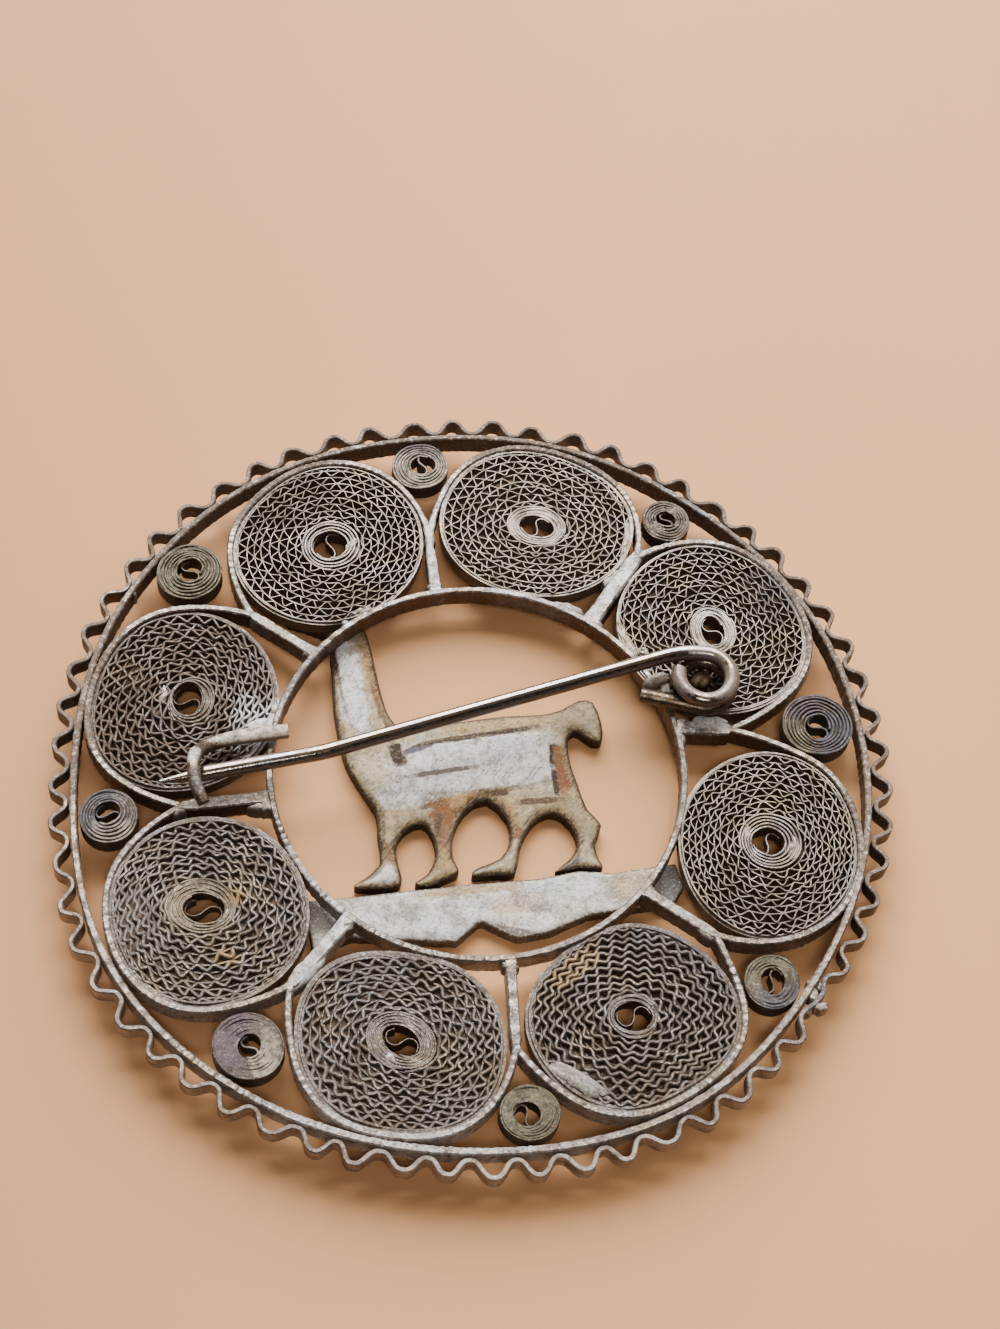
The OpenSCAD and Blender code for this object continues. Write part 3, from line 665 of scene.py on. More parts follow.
# at, radius, waves: the middle, mean radius and waves of the rim (how many, height, heading of a crest)
# eye, ring: the hole and the close ring round it (x, y, half length, half width, tilt)
# curl: how the ribbon's end crosses the eye (sense of the S, tilt, how far its top lies below the rest)
# inStep: the heading at which the crimps of neighbouring turns are in step
coils = [
    {"at": (-10.55, 13.94), "radius": 5.64, "waves": [(2, 0.26, 54), (3, 0.06, -32), (4, 0.04, 9)],
     "eye": (-10.45, 13.9, 0.98, 0.88, 35), "ring": (-10.41, 13.9, 1.86, 1.78, 35), "curl": (1, 35, 0.25),
     "wave": 0.94, "film": 0.3, "lean": 0.0, "skew": 0.25, "sunk": 0.05, "bed": 0.55, "seam": 0.14,
     "finish": "coilSilver",
     "floods": [(-7.9, 9.6, 0.7, 0.22, 38, 2.5, 0.03), (-9.2, 14.2, 0.3, 0.6, -20, 2.5, 0.03)],
     "grimed": [(-7.6, 10.9, 1.0, 0.5, 50, 2.2, 0.04), (-10.0, 12.5, 0.9, 0.3, 5, 2.44, 0.03)]},
    {"at": (1.83, 17.67), "radius": 5.59, "waves": [(2, 0.34, -1), (3, 0.08, -1), (4, 0.05, 29)],
     "eye": (1.94, 17.36, 1.02, 0.72, -4), "ring": (1.95, 17.5, 1.87, 1.5, 0), "curl": (1, 4, 0.03),
     "wave": 0.92, "film": 0.05, "lean": 0.0, "skew": 0.25, "sunk": 0.05, "bed": 0.35, "seam": 0.03,
     "finish": "coilSilver",
     "floods": [(7.55, 17.0, 2.4, 0.26, 88, 2.5, 0.03), (6.9, 14.6, 0.9, 0.24, 62, 2.5, 0.03),
                (6.3, 20.7, 1.2, 0.2, -48, 2.48, 0.03)]},
    {"at": (13.36, 11.85), "radius": 5.74, "waves": [(2, 0.22, -53), (3, 0.07, -25), (4, 0.04, -1)],
     "eye": (13.45, 11.72, 1.03, 0.62, 108), "ring": (13.42, 11.76, 1.68, 1.42, 108), "curl": (1, 88, 0.12),
     "rows": 9, "wave": 0.97, "film": 0.06, "lean": 0.1, "sunk": 0.12, "bed": 0.4, "seam": 0.08,
     "finish": "coilSilver",
     "floods": [(8.35, 10.1, 1.5, 0.34, -62, 2.54, 0.05), (9.4, 8.5, 0.9, 0.4, -35, 2.54, 0.05),
                (9.3, 9.6, 0.4, 0.3, 30, 2.5, 0.04), (19.0, 9.2, 1.6, 0.2, 66, 2.48, 0.03)],
     "grimed": [(16.4, 15.6, 1.6, 1.0, -40, 2.2, 0.05)]},
    {"at": (17.83, -2.08), "radius": 5.52, "waves": [(2, 0.41, 87), (4, 0.05, -15)],
     "eye": (17.8, -2.05, 0.85, 0.78, 0), "ring": (17.98, -1.99, 1.88, 1.84, 0), "curl": (1, 5, 0.35),
     "rows": 9, "wave": 0.97, "ribbon": 0.105, "film": 0.4, "lean": 0.05, "sunk": 0.1, "bed": 0.5,
     "seam": 0.2, "crimpFrom": -0.55, "finish": "coilSilver",
     "floods": [(16.6, -1.8, 0.3, 0.8, 8, 2.5, 0.04), (19.35, -2.2, 0.36, 0.95, 0, 2.5, 0.04)]},
    {"at": (11.02, -14.02), "radius": 5.57, "waves": [(2, 0.34, 30), (3, 0.07, -2), (4, 0.13, 4)],
     "eye": (11.07, -14.04, 0.98, 0.72, 5), "ring": (10.98, -14.01, 1.46, 1.34, 0), "curl": (1, -12, 0.03),
     "rows": 10, "wave": 0.9, "ribbon": 0.215, "swing": 0.34, "inStep": 95, "film": 0.06, "lean": 0.1,
     "skew": 0.2, "sunk": 0.32, "bed": 0.42, "seam": 0.1,
     "floods": [(8.4, -18.2, 2.2, 0.5, -20, 2.58, 0.012)],
     "grimed": [(8.6, -17.2, 1.6, 0.6, -30, 2.3, 0.05), (13.5, -17.2, 1.2, 0.6, 35, 2.2, 0.05)]},
    {"at": (-1.55, -17.40), "radius": 5.54, "waves": [(2, 0.34, -12), (3, 0.04, 29), (4, 0.11, -38)],
     "eye": (-1.45, -17.45, 1.0, 0.64, -28), "ring": (-1.47, -17.4, 2.05, 1.68, -18), "curl": (1, -60, 0.1),
     "rows": 7, "wave": 0.94, "ribbon": 0.235, "swing": 0.34, "film": 0.04, "bed": 0.3, "seam": 0.05,
     "floods": [(-1.9, -18.5, 0.9, 0.35, -15, 2.5, 0.03)],
     "grimed": [(-5.4, -17.6, 0.9, 2.2, 0, 2.32, 0.06), (-4.2, -20.0, 1.6, 0.7, -35, 2.32, 0.06),
                (-2.6, -14.6, 1.8, 0.6, 15, 2.3, 0.06)]},
    {"at": (-13.32, -11.35), "radius": 5.61, "waves": [(2, 0.15, -65), (3, 0.05, 15), (4, 0.05, -15)],
     "eye": (-13.63, -11.33, 1.06, 0.76, 0), "ring": (-13.76, -11.2, 1.95, 1.73, 0), "curl": (1, -55, 0.4),
     "wave": 0.95, "ribbon": 0.225, "swing": 0.35, "film": 0.05, "bed": 0.3, "seam": 0.06,
     "floods": [(-15.35, -10.5, 0.2, 0.6, -10, 2.52, 0.04), (-12.2, -11.4, 0.24, 0.55, 0, 2.5, 0.03)],
     "grimed": [(-17.3, -12.5, 0.9, 2.4, 10, 2.36, 0.06), (-14.6, -15.0, 1.8, 0.7, -20, 2.33, 0.06),
                (-14.2, -10.3, 0.8, 0.25, 25, 2.46, 0.03)]},
    {"at": (-17.18, 1.68), "radius": 5.65, "waves": [(2, 0.35, 83), (3, 0.12, -7), (4, 0.02, -35)],
     "eye": (-17.1, 1.81, 0.97, 0.78, 95), "ring": (-16.7, 1.71, 1.58, 1.34, 90), "curl": (1, -65, 0.45),
     "rows": 9, "wave": 0.98, "ribbon": 0.165, "swing": 0.38, "film": 0.12, "bed": 0.5, "seam": 0.16,
     "floods": [(-12.3, 0.75, 1.15, 0.5, 14, 2.57, 0.04), (-11.9, 1.7, 0.25, 0.7, 0, 2.55, 0.04),
                (-18.5, 1.9, 0.3, 0.7, 5, 2.48, 0.03)],
     "grimed": [(-20.6, 2.8, 1.2, 1.2, 0, 2.25, 0.06), (-18.7, 0.7, 0.4, 0.4, 0, 2.4, 0.03)]},
]

coilWork = {
    "ringPitch": 0.21,   # step between the close turns round the eye
    "ringRibbon": 0.13,
    "curlRibbon": 0.08,
    "plainRibbon": 0.045,
    "plainShare": 0.35,  # how much thicker the plain ribbon is for a thicker crimped one
    "rimRibbon": 0.03,   # and how much thicker its last turn
    "pointed": 0.03,     # how pointed the crimps of a thin ribbon are
    "plainAt": 0.15,     # thickness of a ribbon whose crimps are plain waves; thicker ones are blunter
    "clear": 0.03,       # share of the room that a crimp leaves free on each side
    "crowded": 0.12,     # how unevenly the turns lie
    "hastened": 0.12,    # how unevenly the crimps follow each other
    "low": 1.42,
    "high": 2.53,
    "uneven": 0.05,      # how far the tops rise and fall
    "lapSteps": 48,
    "loopSteps": 72,
    "plainSteps": 70,
    "fineSteps": 400,
    "waveSteps": 14,
    "seed": 41,
}


def rimRadius(ring, angle):
    radius = ring["radius"]
    for count, height, crest in ring["waves"]:
        radius = radius + height * np.cos(count * (angle - math.radians(crest)))
    return radius


def onRim(ring, angle, wider=0.0):
    return np.array(ring["at"]) + polar(rimRadius(ring, angle) + wider, angle)


def onEllipse(ellipse, angle, wider=0.0):
    x, y, length, width, tilt = ellipse
    turned = angle - math.radians(tilt)
    radius = length * width / np.hypot(width * np.cos(turned), length * np.sin(turned)) + wider
    return np.array([x, y]) + polar(radius, angle)


def coilPlace(coil, share, angle):
    # share -1 is the edge of the eye, 0 the edge of the ring round it and 1 the rim
    share = np.asarray(share, float)[..., None]
    eye = onEllipse(coil["eye"], angle, coil["ribbon"] / 2)
    ring = onEllipse(coil["ring"], angle)
    rim = onRim(coil, angle, -coil["ribbon"] / 2)
    return ring + (rim - ring) * np.clip(share, 0, 1) + (ring - eye) * np.clip(share, -1, 0)


# The ribbon's end across an eye, as shares of the eye's radius and headings in degrees
curlLine = [(1.0, 185), (1.0, 215), (0.98, 245), (0.72, 268), (0.3, 285), (0.12, 100), (0.55, 98),
            (0.9, 78), (1.0, 55), (1.0, 30)]


def addEyeCurl(pile, eye, curl, width, low, high):
    sense, tilt, drop = curl
    headings = np.radians([tilt + sense * heading for share, heading in curlLine])
    reach = np.array([share for share, heading in curlLine])
    middle = np.array(eye[:2])
    points = middle + (onEllipse(eye, headings) - middle) * reach[:, None]
    addStrip(pile, smoothPath(points, 4), width, low, high - drop)


def windCoil(index, coil, work):
    rng = np.random.default_rng(work["seed"] + index)
    pile = newPile()
    rows = coil["rows"]
    low = work["low"]
    high = work["high"]
    start = rng.uniform(0, fullTurn)
    sag = wander(rng, work["uneven"], 1.5, 6)
    crowd = wander(rng, work["crowded"] / rows, 0.6, 3.3)
    hasten = wander(rng, work["hastened"], 0.5, 9)
    skew = wander(rng, coil["skew"], 0.3, 2.5)
    tilted = wander(rng, 0.05, 1, 7)

    # the close turns round the eye, standing in a film of solder
    laps = max(2, round((coil["ring"][2] - coil["eye"][2]) / work["ringPitch"]))
    angles = start + np.linspace(-laps * fullTurn, 0, laps * work["lapSteps"])
    share = (angles - start) / (laps * fullTurn) + wander(rng, work["crowded"] / laps, 0.4, 2.1)(angles)
    path = coilPlace(coil, np.minimum(share, 0), angles)
    addStrip(pile, path, work["ringRibbon"], low, high + sag(angles) * 0.6)
    loop = np.linspace(0, fullTurn, work["loopSteps"], endpoint=False)
    film = high - coil["film"] + 0.02 * np.sin(loop * 3 + start)
    addBand(pile, coilPlace(coil, -0.93, loop), coilPlace(coil, -0.08, loop), low + 0.3, film)
    addEyeCurl(pile, coil["eye"], coil["curl"], work["curlRibbon"], low, high)

    # the bed under the crimps, grime that is also a dark sheet standing in as painted shade between the
    # turns, and the solder along the petal
    bed = high - coil["bed"]
    addBand(pile, coilPlace(coil, -0.02, loop), coilPlace(coil, 0.98, loop), low + 0.1, bed, finish=2)
    seam = high - coil["seam"] + wander(rng, 0.03, 0, 3)(np.cos(loop) * 4)
    addBand(pile, onRim(coil, loop, -0.04), onRim(coil, loop, 0.13), low + 0.05, seam)

    # the plain ribbon, wound from the ring to the rim and once round the rim
    def shareAt(turns):
        fade = np.clip(turns, 0, 1) * np.clip(rows - turns, 0, 1)
        return np.clip(turns / rows, 0, 1) + crowd(turns * fullTurn) * fade

    turns = np.linspace(0, rows + 1, (rows + 1) * work["plainSteps"])
    angles = start + turns * fullTurn
    last = np.clip(turns - rows + 1, 0, 1)
    width = work["plainRibbon"] + coil["ribbon"] * work["plainShare"] + work["rimRibbon"] * last
    top = high - coil["sunk"] * (1 - last) + sag(angles)
    addStrip(pile, coilPlace(coil, shareAt(turns), angles), width, low, top)

    # the crimped ribbon, between each turn of the plain one and the next
    fine = np.linspace(coil["crimpFrom"], rows, rows * work["fineSteps"])
    middle = coilPlace(coil, (shareAt(fine) + shareAt(fine + 1)) / 2, start + fine * fullTurn)
    lengths = np.linalg.norm(np.diff(middle, axis=0), axis=1)
    pace = 1 + hasten(fine[1:] * fullTurn)
    phase = np.concatenate([[0], np.cumsum(lengths / coil["wave"] * pace)])
    if "inStep" in coil:
        passes = (math.radians(coil["inStep"]) - start) / fullTurn + np.arange(-1, rows + 1)
        passes = passes[(passes > fine[0]) & (passes < rows)]
        counted = np.interp(passes, fine, phase)
        phase = phase + np.interp(phase, counted, np.round(counted) - counted)
    wanted = np.arange(int(phase[-1] * work["waveSteps"])) / work["waveSteps"]
    turns = np.interp(wanted, phase, fine)
    angles = start + turns * fullTurn
    leant = fullTurn * wanted + (skew(turns * fullTurn) + coil["lean"]) * np.sin(fullTurn * wanted)
    pointed = work["pointed"] * (1 - coil["ribbon"] / work["plainAt"])
    swing = (np.sin(leant) - pointed * np.sin(3 * leant)) * coil["swing"]
    reach = np.clip(0.5 + swing + tilted(turns * fullTurn), work["clear"], 1 - work["clear"])
    inner = shareAt(turns)
    outer = shareAt(turns + 1)
    radius = coil["ring"][2] + (coil["radius"] - coil["ring"][2]) * (inner + outer) / 2
    angles = angles + coil["lean"] * coil["wave"] * (reach - 0.5) / radius
    top = high - 0.02 + sag(angles + 2) + wander(rng, 0.03, 10, 60)(turns)
    path = coilPlace(coil, inner + (outer - inner) * reach, angles)
    addStrip(pile, path, coil["ribbon"], low, top, edge=0.3)

    addLumps(pile, rng, coil["floods"], low + 0.1, fineness=5, flat=0.25)
    addLumps(pile, rng, coil["grimed"], low + 0.1, finish=2, fineness=5, flat=0.25)
    finishNames = [coil["finish"], "solderSilver", "grimeAndShade"]
    makePiece(pile, f"woundCoil{index}", finishNames, f"coil_{index}")


# The eight rosettes, with how deep the film of solder lies between their turns

rosettes = [
    {"at": (-5.85, 20.65), "radius": 1.74, "waves": [(2, 0.04, 30)], "eye": (-5.71, 20.78, 0.76, 0.7, 20),
     "curl": (1, 42, 0.05), "film": 0.1},
    {"at": (9.9, 19.2), "radius": 1.5, "waves": [(2, 0.03, 120)], "eye": (9.9, 19.32, 0.58, 0.5, 0),
     "curl": (1, 70, 0.1), "film": 0.05},
    {"at": (20.22, 6.2), "radius": 2.1, "waves": [(2, 0.04, 0)], "eye": (20.27, 6.07, 0.82, 0.7, 90),
     "curl": (1, 85, 0.15), "film": 0.2},
    {"at": (18.62, -10.78), "radius": 1.63, "waves": [(2, 0.03, 80)], "eye": (18.62, -10.7, 0.8, 0.66, 90),
     "curl": (1, 10, 0.1), "film": 0.03},
    {"at": (6.0, -20.45), "radius": 1.64, "waves": [(2, 0.04, 10)], "eye": (5.84, -20.6, 0.72, 0.68, 0),
     "curl": (-1, 10, 0.15), "film": 0.0},
    {"at": (-9.7, -19.0), "radius": 1.98, "waves": [(2, 0.05, 150)], "eye": (-9.62, -19.0, 0.68, 0.6, 90),
     "curl": (1, 80, 0.2), "film": -0.01},
    {"at": (-20.0, -6.5), "radius": 1.7, "waves": [(2, 0.04, 100)], "eye": (-20.1, -6.3, 0.74, 0.66, 60),
     "curl": (1, -60, 0.25), "film": 0.08},
    {"at": (-18.58, 10.5), "radius": 1.98, "waves": [(2, 0.04, 50)], "eye": (-18.57, 10.72, 0.8, 0.7, 60),
     "curl": (1, 80, 0.3), "film": 0.12},
]

rosetteWork = {
    "pitch": 0.2,
    "plain": 0.14,
    "low": 1.42,
    "high": 2.53,
    "lapSteps": 48,
    "seed": 90,
}


def windRosette(index, rosette, work):
    rng = np.random.default_rng(work["seed"] + index)
    pile = newPile()
    ribbon = work["plain"]
    low = work["low"]
    high = work["high"]
    laps = max(4, round((rosette["radius"] - rosette["eye"][2]) / work["pitch"]) + 1)
    turns = np.linspace(0, laps, laps * work["lapSteps"])
    angles = rng.uniform(0, fullTurn) + turns * fullTurn
    share = np.minimum(turns / (laps - 1), 1)[:, None]
    wobble = wander(rng, 0.1, 0.5, 4)(angles)[:, None] / laps * np.sin(share * np.pi)
    eye = onEllipse(rosette["eye"], angles)
    path = eye + (onRim(rosette, angles, -ribbon / 2) - eye) * (share + wobble)
    width = ribbon + wander(rng, 0.015, 1, 9)(angles)
    addStrip(pile, path, width, low, high + wander(rng, 0.05, 0.6, 5)(angles))
    loop = np.linspace(0, fullTurn, work["lapSteps"], endpoint=False)
    film = high - rosette["film"] + 0.04 * np.sin(2 * loop)
    addBand(pile, onEllipse(rosette["eye"], loop, 0.05), onRim(rosette, loop, -ribbon), low + 0.3, film)
    addEyeCurl(pile, rosette["eye"], rosette["curl"], ribbon * 0.8, low, high)
    makePiece(pile, f"rosette{index}", ["rosetteSilver"], f"rosette_{index}")


# The hoops, petals and struts

strips = {
    "thick": 0.4,
    "low": 1.25,
    "high": 2.65,
    "coilGap": 0.1,      # room between a petal and its coil
    "flare": 40,         # degrees over which a petal's ends flare out to their struts
    "footFlare": 0.35,   # how much a strut widens towards its foot, and over what length
    "forkTaper": (0.3, 0.25),   # share of its width that it loses towards its fork, and over what length
    "nickWidth": 0.7,    # how much of a strip's width a nick takes
    "nickHeight": 0.35,  # and how far it lowers the strip's edge
    "petalSteps": 260,
    "strutSteps": 30,
    "nickFade": 3,       # degrees over which a nicked stretch begins and ends
    "seed": 7,
}

# at, radius, waves: as for a coil's rim
# thinAbove: how much thinner the hoop is at the top of the brooch, and thicker below
# nicks: stretches whose upper edge is nicked into beads (heading from, heading to, length of a bead,
# depth of a nick)
hoops = {
    "outer": {
        "at": (0, 0), "radius": 23.53,
        "waves": [(1, 0.12, 15.5), (2, 0.12, 80.4), (3, 0.11, 0.5), (4, 0.17, -44.5), (5, 0.13, 13.5),
                  (8, 0.07, -7.4)],
        "thinAbove": 0.05, "nicks": [(232, 292, 0.42, 0.22)], "steps": 1900,
    },
    "centre": {
        "at": (0.487, 0.09), "radius": 12.17, "waves": [], "thinAbove": 0,
        "nicks": [(203, 243, 0.5, 0.4), (243, 285, 0.42, 0.22), (60, 105, 0.7, 0.15)], "steps": 1000,
    },
}

# angle of the foot on the centre hoop, where the two petals part, width
struts = [
    (109.5, (-4.4, 14.7), 0.6),
    (63.5, (8.3, 16.2), 0.95),
    (21.8, (15.0, 5.0), 0.9),
    (328.5, (15.2, -8.4), 0.6),
    (286, (4.8, -16.8), 0.6),
    (241, (-8.0, -15.1), 0.75),
    (198.5, (-16.0, -5.2), 0.75),
    (150.5, (-14.3, 8.1), 0.6),
]

# Runs of solder on the strips; columns: x, y, half length, half width, tilt, top, uneven
solderRuns = [
    (-3.75, 11.95, 0.5, 0.32, 0, 2.62, 0.03), (-4.5, 15.3, 0.6, 0.34, 98, 2.62, 0.02),
    (6.1, 11.15, 0.75, 0.42, -35, 2.63, 0.04), (4.6, 11.9, 1.1, 0.28, -12, 2.58, 0.05),
    (7.1, 13.7, 1.5, 0.42, 58, 2.6, 0.03), (8.3, 16.3, 0.8, 0.4, 65, 2.6, 0.03),
    (12.15, 4.9, 0.5, 0.42, 60, 2.62, 0.04), (13.7, 5.35, 1.2, 0.4, 6, 2.66, 0.04),
    (12.2, 4.0, 0.55, 0.25, -75, 2.6, 0.03), (11.05, -6.3, 0.6, 0.36, 55, 2.62, 0.03),
    (14.6, -8.3, 0.9, 0.32, -35, 2.6, 0.03), (3.85, -12.1, 0.5, 0.3, -10, 2.62, 0.03),
    (4.75, -16.4, 0.8, 0.3, 95, 2.6, 0.02), (-5.5, -11.0, 0.6, 0.42, 30, 2.62, 0.04),
    (-7.35, -14.2, 1.5, 0.55, 57, 2.62, 0.03), (-11.25, -4.35, 0.5, 0.5, 0, 2.62, 0.03),
    (-11.7, -4.5, 0.6, 0.3, 10, 2.6, 0.03), (-16.1, -5.45, 0.5, 0.34, 30, 2.62, 0.04),
    (-10.35, 6.15, 0.55, 0.4, 35, 2.62, 0.03), (-13.7, 7.75, 0.9, 0.36, -30, 2.6, 0.03),
    (-7.55, 9.55, 0.55, 0.24, 38, 2.62, 0.04), (-8.7, 8.5, 0.3, 0.24, 40, 2.62, 0.04),
    (-21.6, 8.6, 0.14, 0.3, 30, 2.45, 0.0),
]

# Solder that holds the spring's foot, and the dull lump inside its turns
footSolder = [
    (10.35, 7.45, 0.85, 0.42, 24, 3.2, 0.05), (11.0, 7.0, 0.4, 0.4, 0, 3.0, 0.04),
    (9.9, 6.5, 0.5, 0.35, 20, 2.75, 0.04),
]
springGrime = [(12.95, 7.85, 0.75, 0.5, 55, 3.3, 0.05), (13.9, 8.2, 0.3, 0.16, 60, 3.35, 0.0)]


def petalPath(k, count):
    coil = coils[k]
    middle = np.array(coil["at"])
    first = np.array(struts[k][1])
    final = np.array(struts[k - 1][1])
    begin = math.atan2(*(first - middle)[::-1])
    end = math.atan2(*(final - middle)[::-1])
    end += fullTurn * math.ceil((begin - end) / fullTurn)
    flare = math.radians(strips["flare"])
    reach = strips["coilGap"] + strips["thick"] / 2
    angles = np.linspace(begin, end, count)
    flareFirst = np.linalg.norm(first - middle) - rimRadius(coil, begin) - reach
    flareFinal = np.linalg.norm(final - middle) - rimRadius(coil, end) - reach
    near = np.clip((begin + flare - angles) / flare, 0, 1)
    far = np.clip((angles - end + flare) / flare, 0, 1)
    radius = rimRadius(coil, angles) + reach + flareFirst * near ** 2 + flareFinal * far ** 2
    return middle + polar(radius, angles)


def nickDepth(angles, hoop):
    # 0 on a bead, up to its depth in the nick between two beads
    depth = np.zeros(len(angles))
    heading = np.degrees(angles) % 360
    for begin, end, pitch, deep in hoop["nicks"]:
        inside = np.clip(np.minimum(heading - begin, end - heading) / strips["nickFade"], 0, 1)
        far = np.radians(heading) * hoop["radius"] / pitch
        far = far + 0.3 * np.sin(far * 0.7) + 0.2 * np.sin(far * 0.31 + 2)
        depth += inside * deep * (1 - np.abs(np.sin(np.pi * far)) ** 0.3)
    return depth


def bendFrame():
    rng = np.random.default_rng(strips["seed"])
    pile = newPile()
    thick = strips["thick"]
    low = strips["low"]
    high = strips["high"]

    def hammered(count, length, closed):
        # uneven width and height along a strip; a closed one meets itself
        far = np.linspace(0, length, count, endpoint=not closed)
        seam = np.clip(np.minimum(far, length - far) / 0.6, 0, 1) if closed else 1
        width = thick + seam * (wander(rng, 0.03, 4, 14)(far) + wander(rng, 0.02, 0.4, 2)(far))
        top = high + seam * (wander(rng, 0.02, 3, 12)(far) - 0.015)
        return width, top

    for hoop in hoops.values():
        angles = np.linspace(0, fullTurn, hoop["steps"], endpoint=False)
        width, top = hammered(hoop["steps"], hoop["radius"] * fullTurn, True)
        nick = nickDepth(angles, hoop)
        width = width * (1 - strips["nickWidth"] * nick) - hoop["thinAbove"] * np.sin(angles)
        top = top - strips["nickHeight"] * nick
        addStrip(pile, onRim(hoop, angles), width, low, top, closed=True, edge=0.2)
    for k in range(8):
        width, top = hammered(strips["petalSteps"], 30, False)
        addStrip(pile, petalPath(k, strips["petalSteps"]), width, low, top - 0.01, edge=0.2)
    share = np.linspace(0, 1, strips["strutSteps"])
    flare = strips["footFlare"]
    taper, taperLength = strips["forkTaper"]
    for angle, fork, wide in struts:
        foot = onRim(hoops["centre"], math.radians(angle))
        path = foot * (1 - share)[:, None] + np.array(fork) * share[:, None]
        length = np.linalg.norm(np.array(fork) - foot)
        width, top = hammered(strips["strutSteps"], length, False)
        far = share * length
        flared = flare * np.exp(-far / flare) - taper * wide * np.exp((far - length) / taperLength)
        addStrip(pile, path, width - thick + wide + flared, low, top - 0.02, edge=0.12)
    addLumps(pile, rng, solderRuns, low)
    addLumps(pile, rng, footSolder, high - 0.5, flat=0.6)
    addLumps(pile, rng, springGrime, high - 0.2, finish=2, flat=0.6)
    makePiece(pile, "solderedStrips", ["stripSilver", "solderSilver", "grimeAndShade"], "frame")


# The crimped edge

crimp = {
    "teeth": 61,
    "firstTooth": 7.35,
    "drift": 2.3,
    "driftFrom": 240,
    "depth": 0.9,
    "thick": 0.27,
    "thickBelow": 0.02,   # how much thicker the ribbon's rubbed edge is at the bottom of the brooch
    "gap": 0.05,
    "slack": 0.04,
    "slackFrom": 315,
    "crushedAt": 331.6,
    "crushedSpread": 3.5,
    "crushed": 0.7,
    "pointed": 0.07,      # how pointed the teeth are
    "depthVaries": 0.07,
    "pitchVaries": 0.25,
    "seamFade": 4,        # degrees over which the ribbon's two ends are brought together
    "low": 1.36,
    "high": 2.50,
    "steps": 26,
    "seed": 5,
}

# Solder over the crushed tooth; columns: x, y, half length, half width, tilt, top, uneven
crushedSolder = [
    (20.95, -11.0, 0.75, 0.34, -68, 2.5, 0.06), (21.45, -11.75, 0.5, 0.3, 20, 2.42, 0.05),
    (21.35, -10.55, 0.3, 0.22, 40, 2.44, 0.04), (20.75, -12.1, 0.3, 0.22, -60, 2.4, 0.04),
]


def crimpEdge():
    plan = crimp
    rng = np.random.default_rng(plan["seed"])
    angle = np.linspace(0, 360, plan["teeth"] * plan["steps"], endpoint=False)
    turned = np.radians(angle)
    drift = plan["drift"] * np.cos(np.radians(angle - plan["driftFrom"]))
    phase = np.radians(plan["teeth"] * (angle - plan["firstTooth"] - drift))
    kept = 1 - plan["crushed"] * np.exp(-((angle - plan["crushedAt"]) / plan["crushedSpread"]) ** 2)
    seam = np.clip(np.minimum(angle, 360 - angle) / plan["seamFade"], 0, 1)
    own = 1 + seam * wander(rng, plan["depthVaries"], 4, 26)(turned)
    phase = phase + seam * wander(rng, plan["pitchVaries"], 8, 30)(turned)
    valley = rimRadius(hoops["outer"], turned) + strips["thick"] / 2 + plan["gap"] + plan["thick"] / 2
    loose = plan["slack"] * (1 + np.cos(np.radians(angle - plan["slackFrom"])))
    pointed = plan["pointed"]
    swing = (np.cos(phase) - pointed * np.cos(3 * phase)) / (1 - pointed)
    radius = valley + loose + plan["depth"] * kept * own * (1 + swing) / 2
    top = plan["high"] + seam * wander(rng, 0.035, 5, 40)(turned)
    width = plan["thick"] - plan["thickBelow"] * np.sin(turned) + seam * wander(rng, 0.015, 20, 120)(turned)
    pile = newPile()
    addStrip(pile, polar(radius, turned), width, plan["low"], top, closed=True, edge=0.2)
    addLumps(pile, rng, crushedSolder, plan["low"])
    makePiece(pile, "crimpedRibbon", ["edgeSilver", "solderSilver"], "crimped_edge")


# The llama and the plate it stands on: copies of their cut shapes, filed and beaten

sheets = {
    "llama": {
        "name": "filedLlama", "finish": "llamaSilver", "slot": "sheet_silver", "voxel": 0.11,
        "filed": (0.7, 0.22),    # width and drop of the slope filed along the outline
        "beaten": 0.02, "seed": 3,
        # raised places: x, y, half length, half width, tilt, height above the rest
        "raised": [(0.45, 1.05, 4.7, 1.75, 15, 0.08), (-7.7, 5.0, 3.2, 0.65, -70, 0.06)],
    },
    "ground_plate": {
        "name": "beatenGround", "finish": "plateSilver", "slot": "sheet_silver", "voxel": 0.12,
        "filed": (0.35, 0.08), "beaten": 0.035, "seed": 8, "raised": [],
    },
}

# Shares of a sheet's thickness: where its walls are measured, and from where it is filed and beaten
sheetWork = {"walls": (0.35, 0.65), "worked": 0.7, "softened": 2, "sharp": 60}


def oblong(x, y, place):
    # 1 inside a rounded oblong, 0 outside, with a short slope between
    middleX, middleY, length, width, tilt = place
    turned = math.radians(tilt)
    along = ((x - middleX) * math.cos(turned) + (y - middleY) * math.sin(turned)) / length
    across = ((y - middleY) * math.cos(turned) - (x - middleX) * math.sin(turned)) / width
    return np.clip((1.1 - (along ** 4 + across ** 4) ** 0.25) / 0.15, 0, 1)


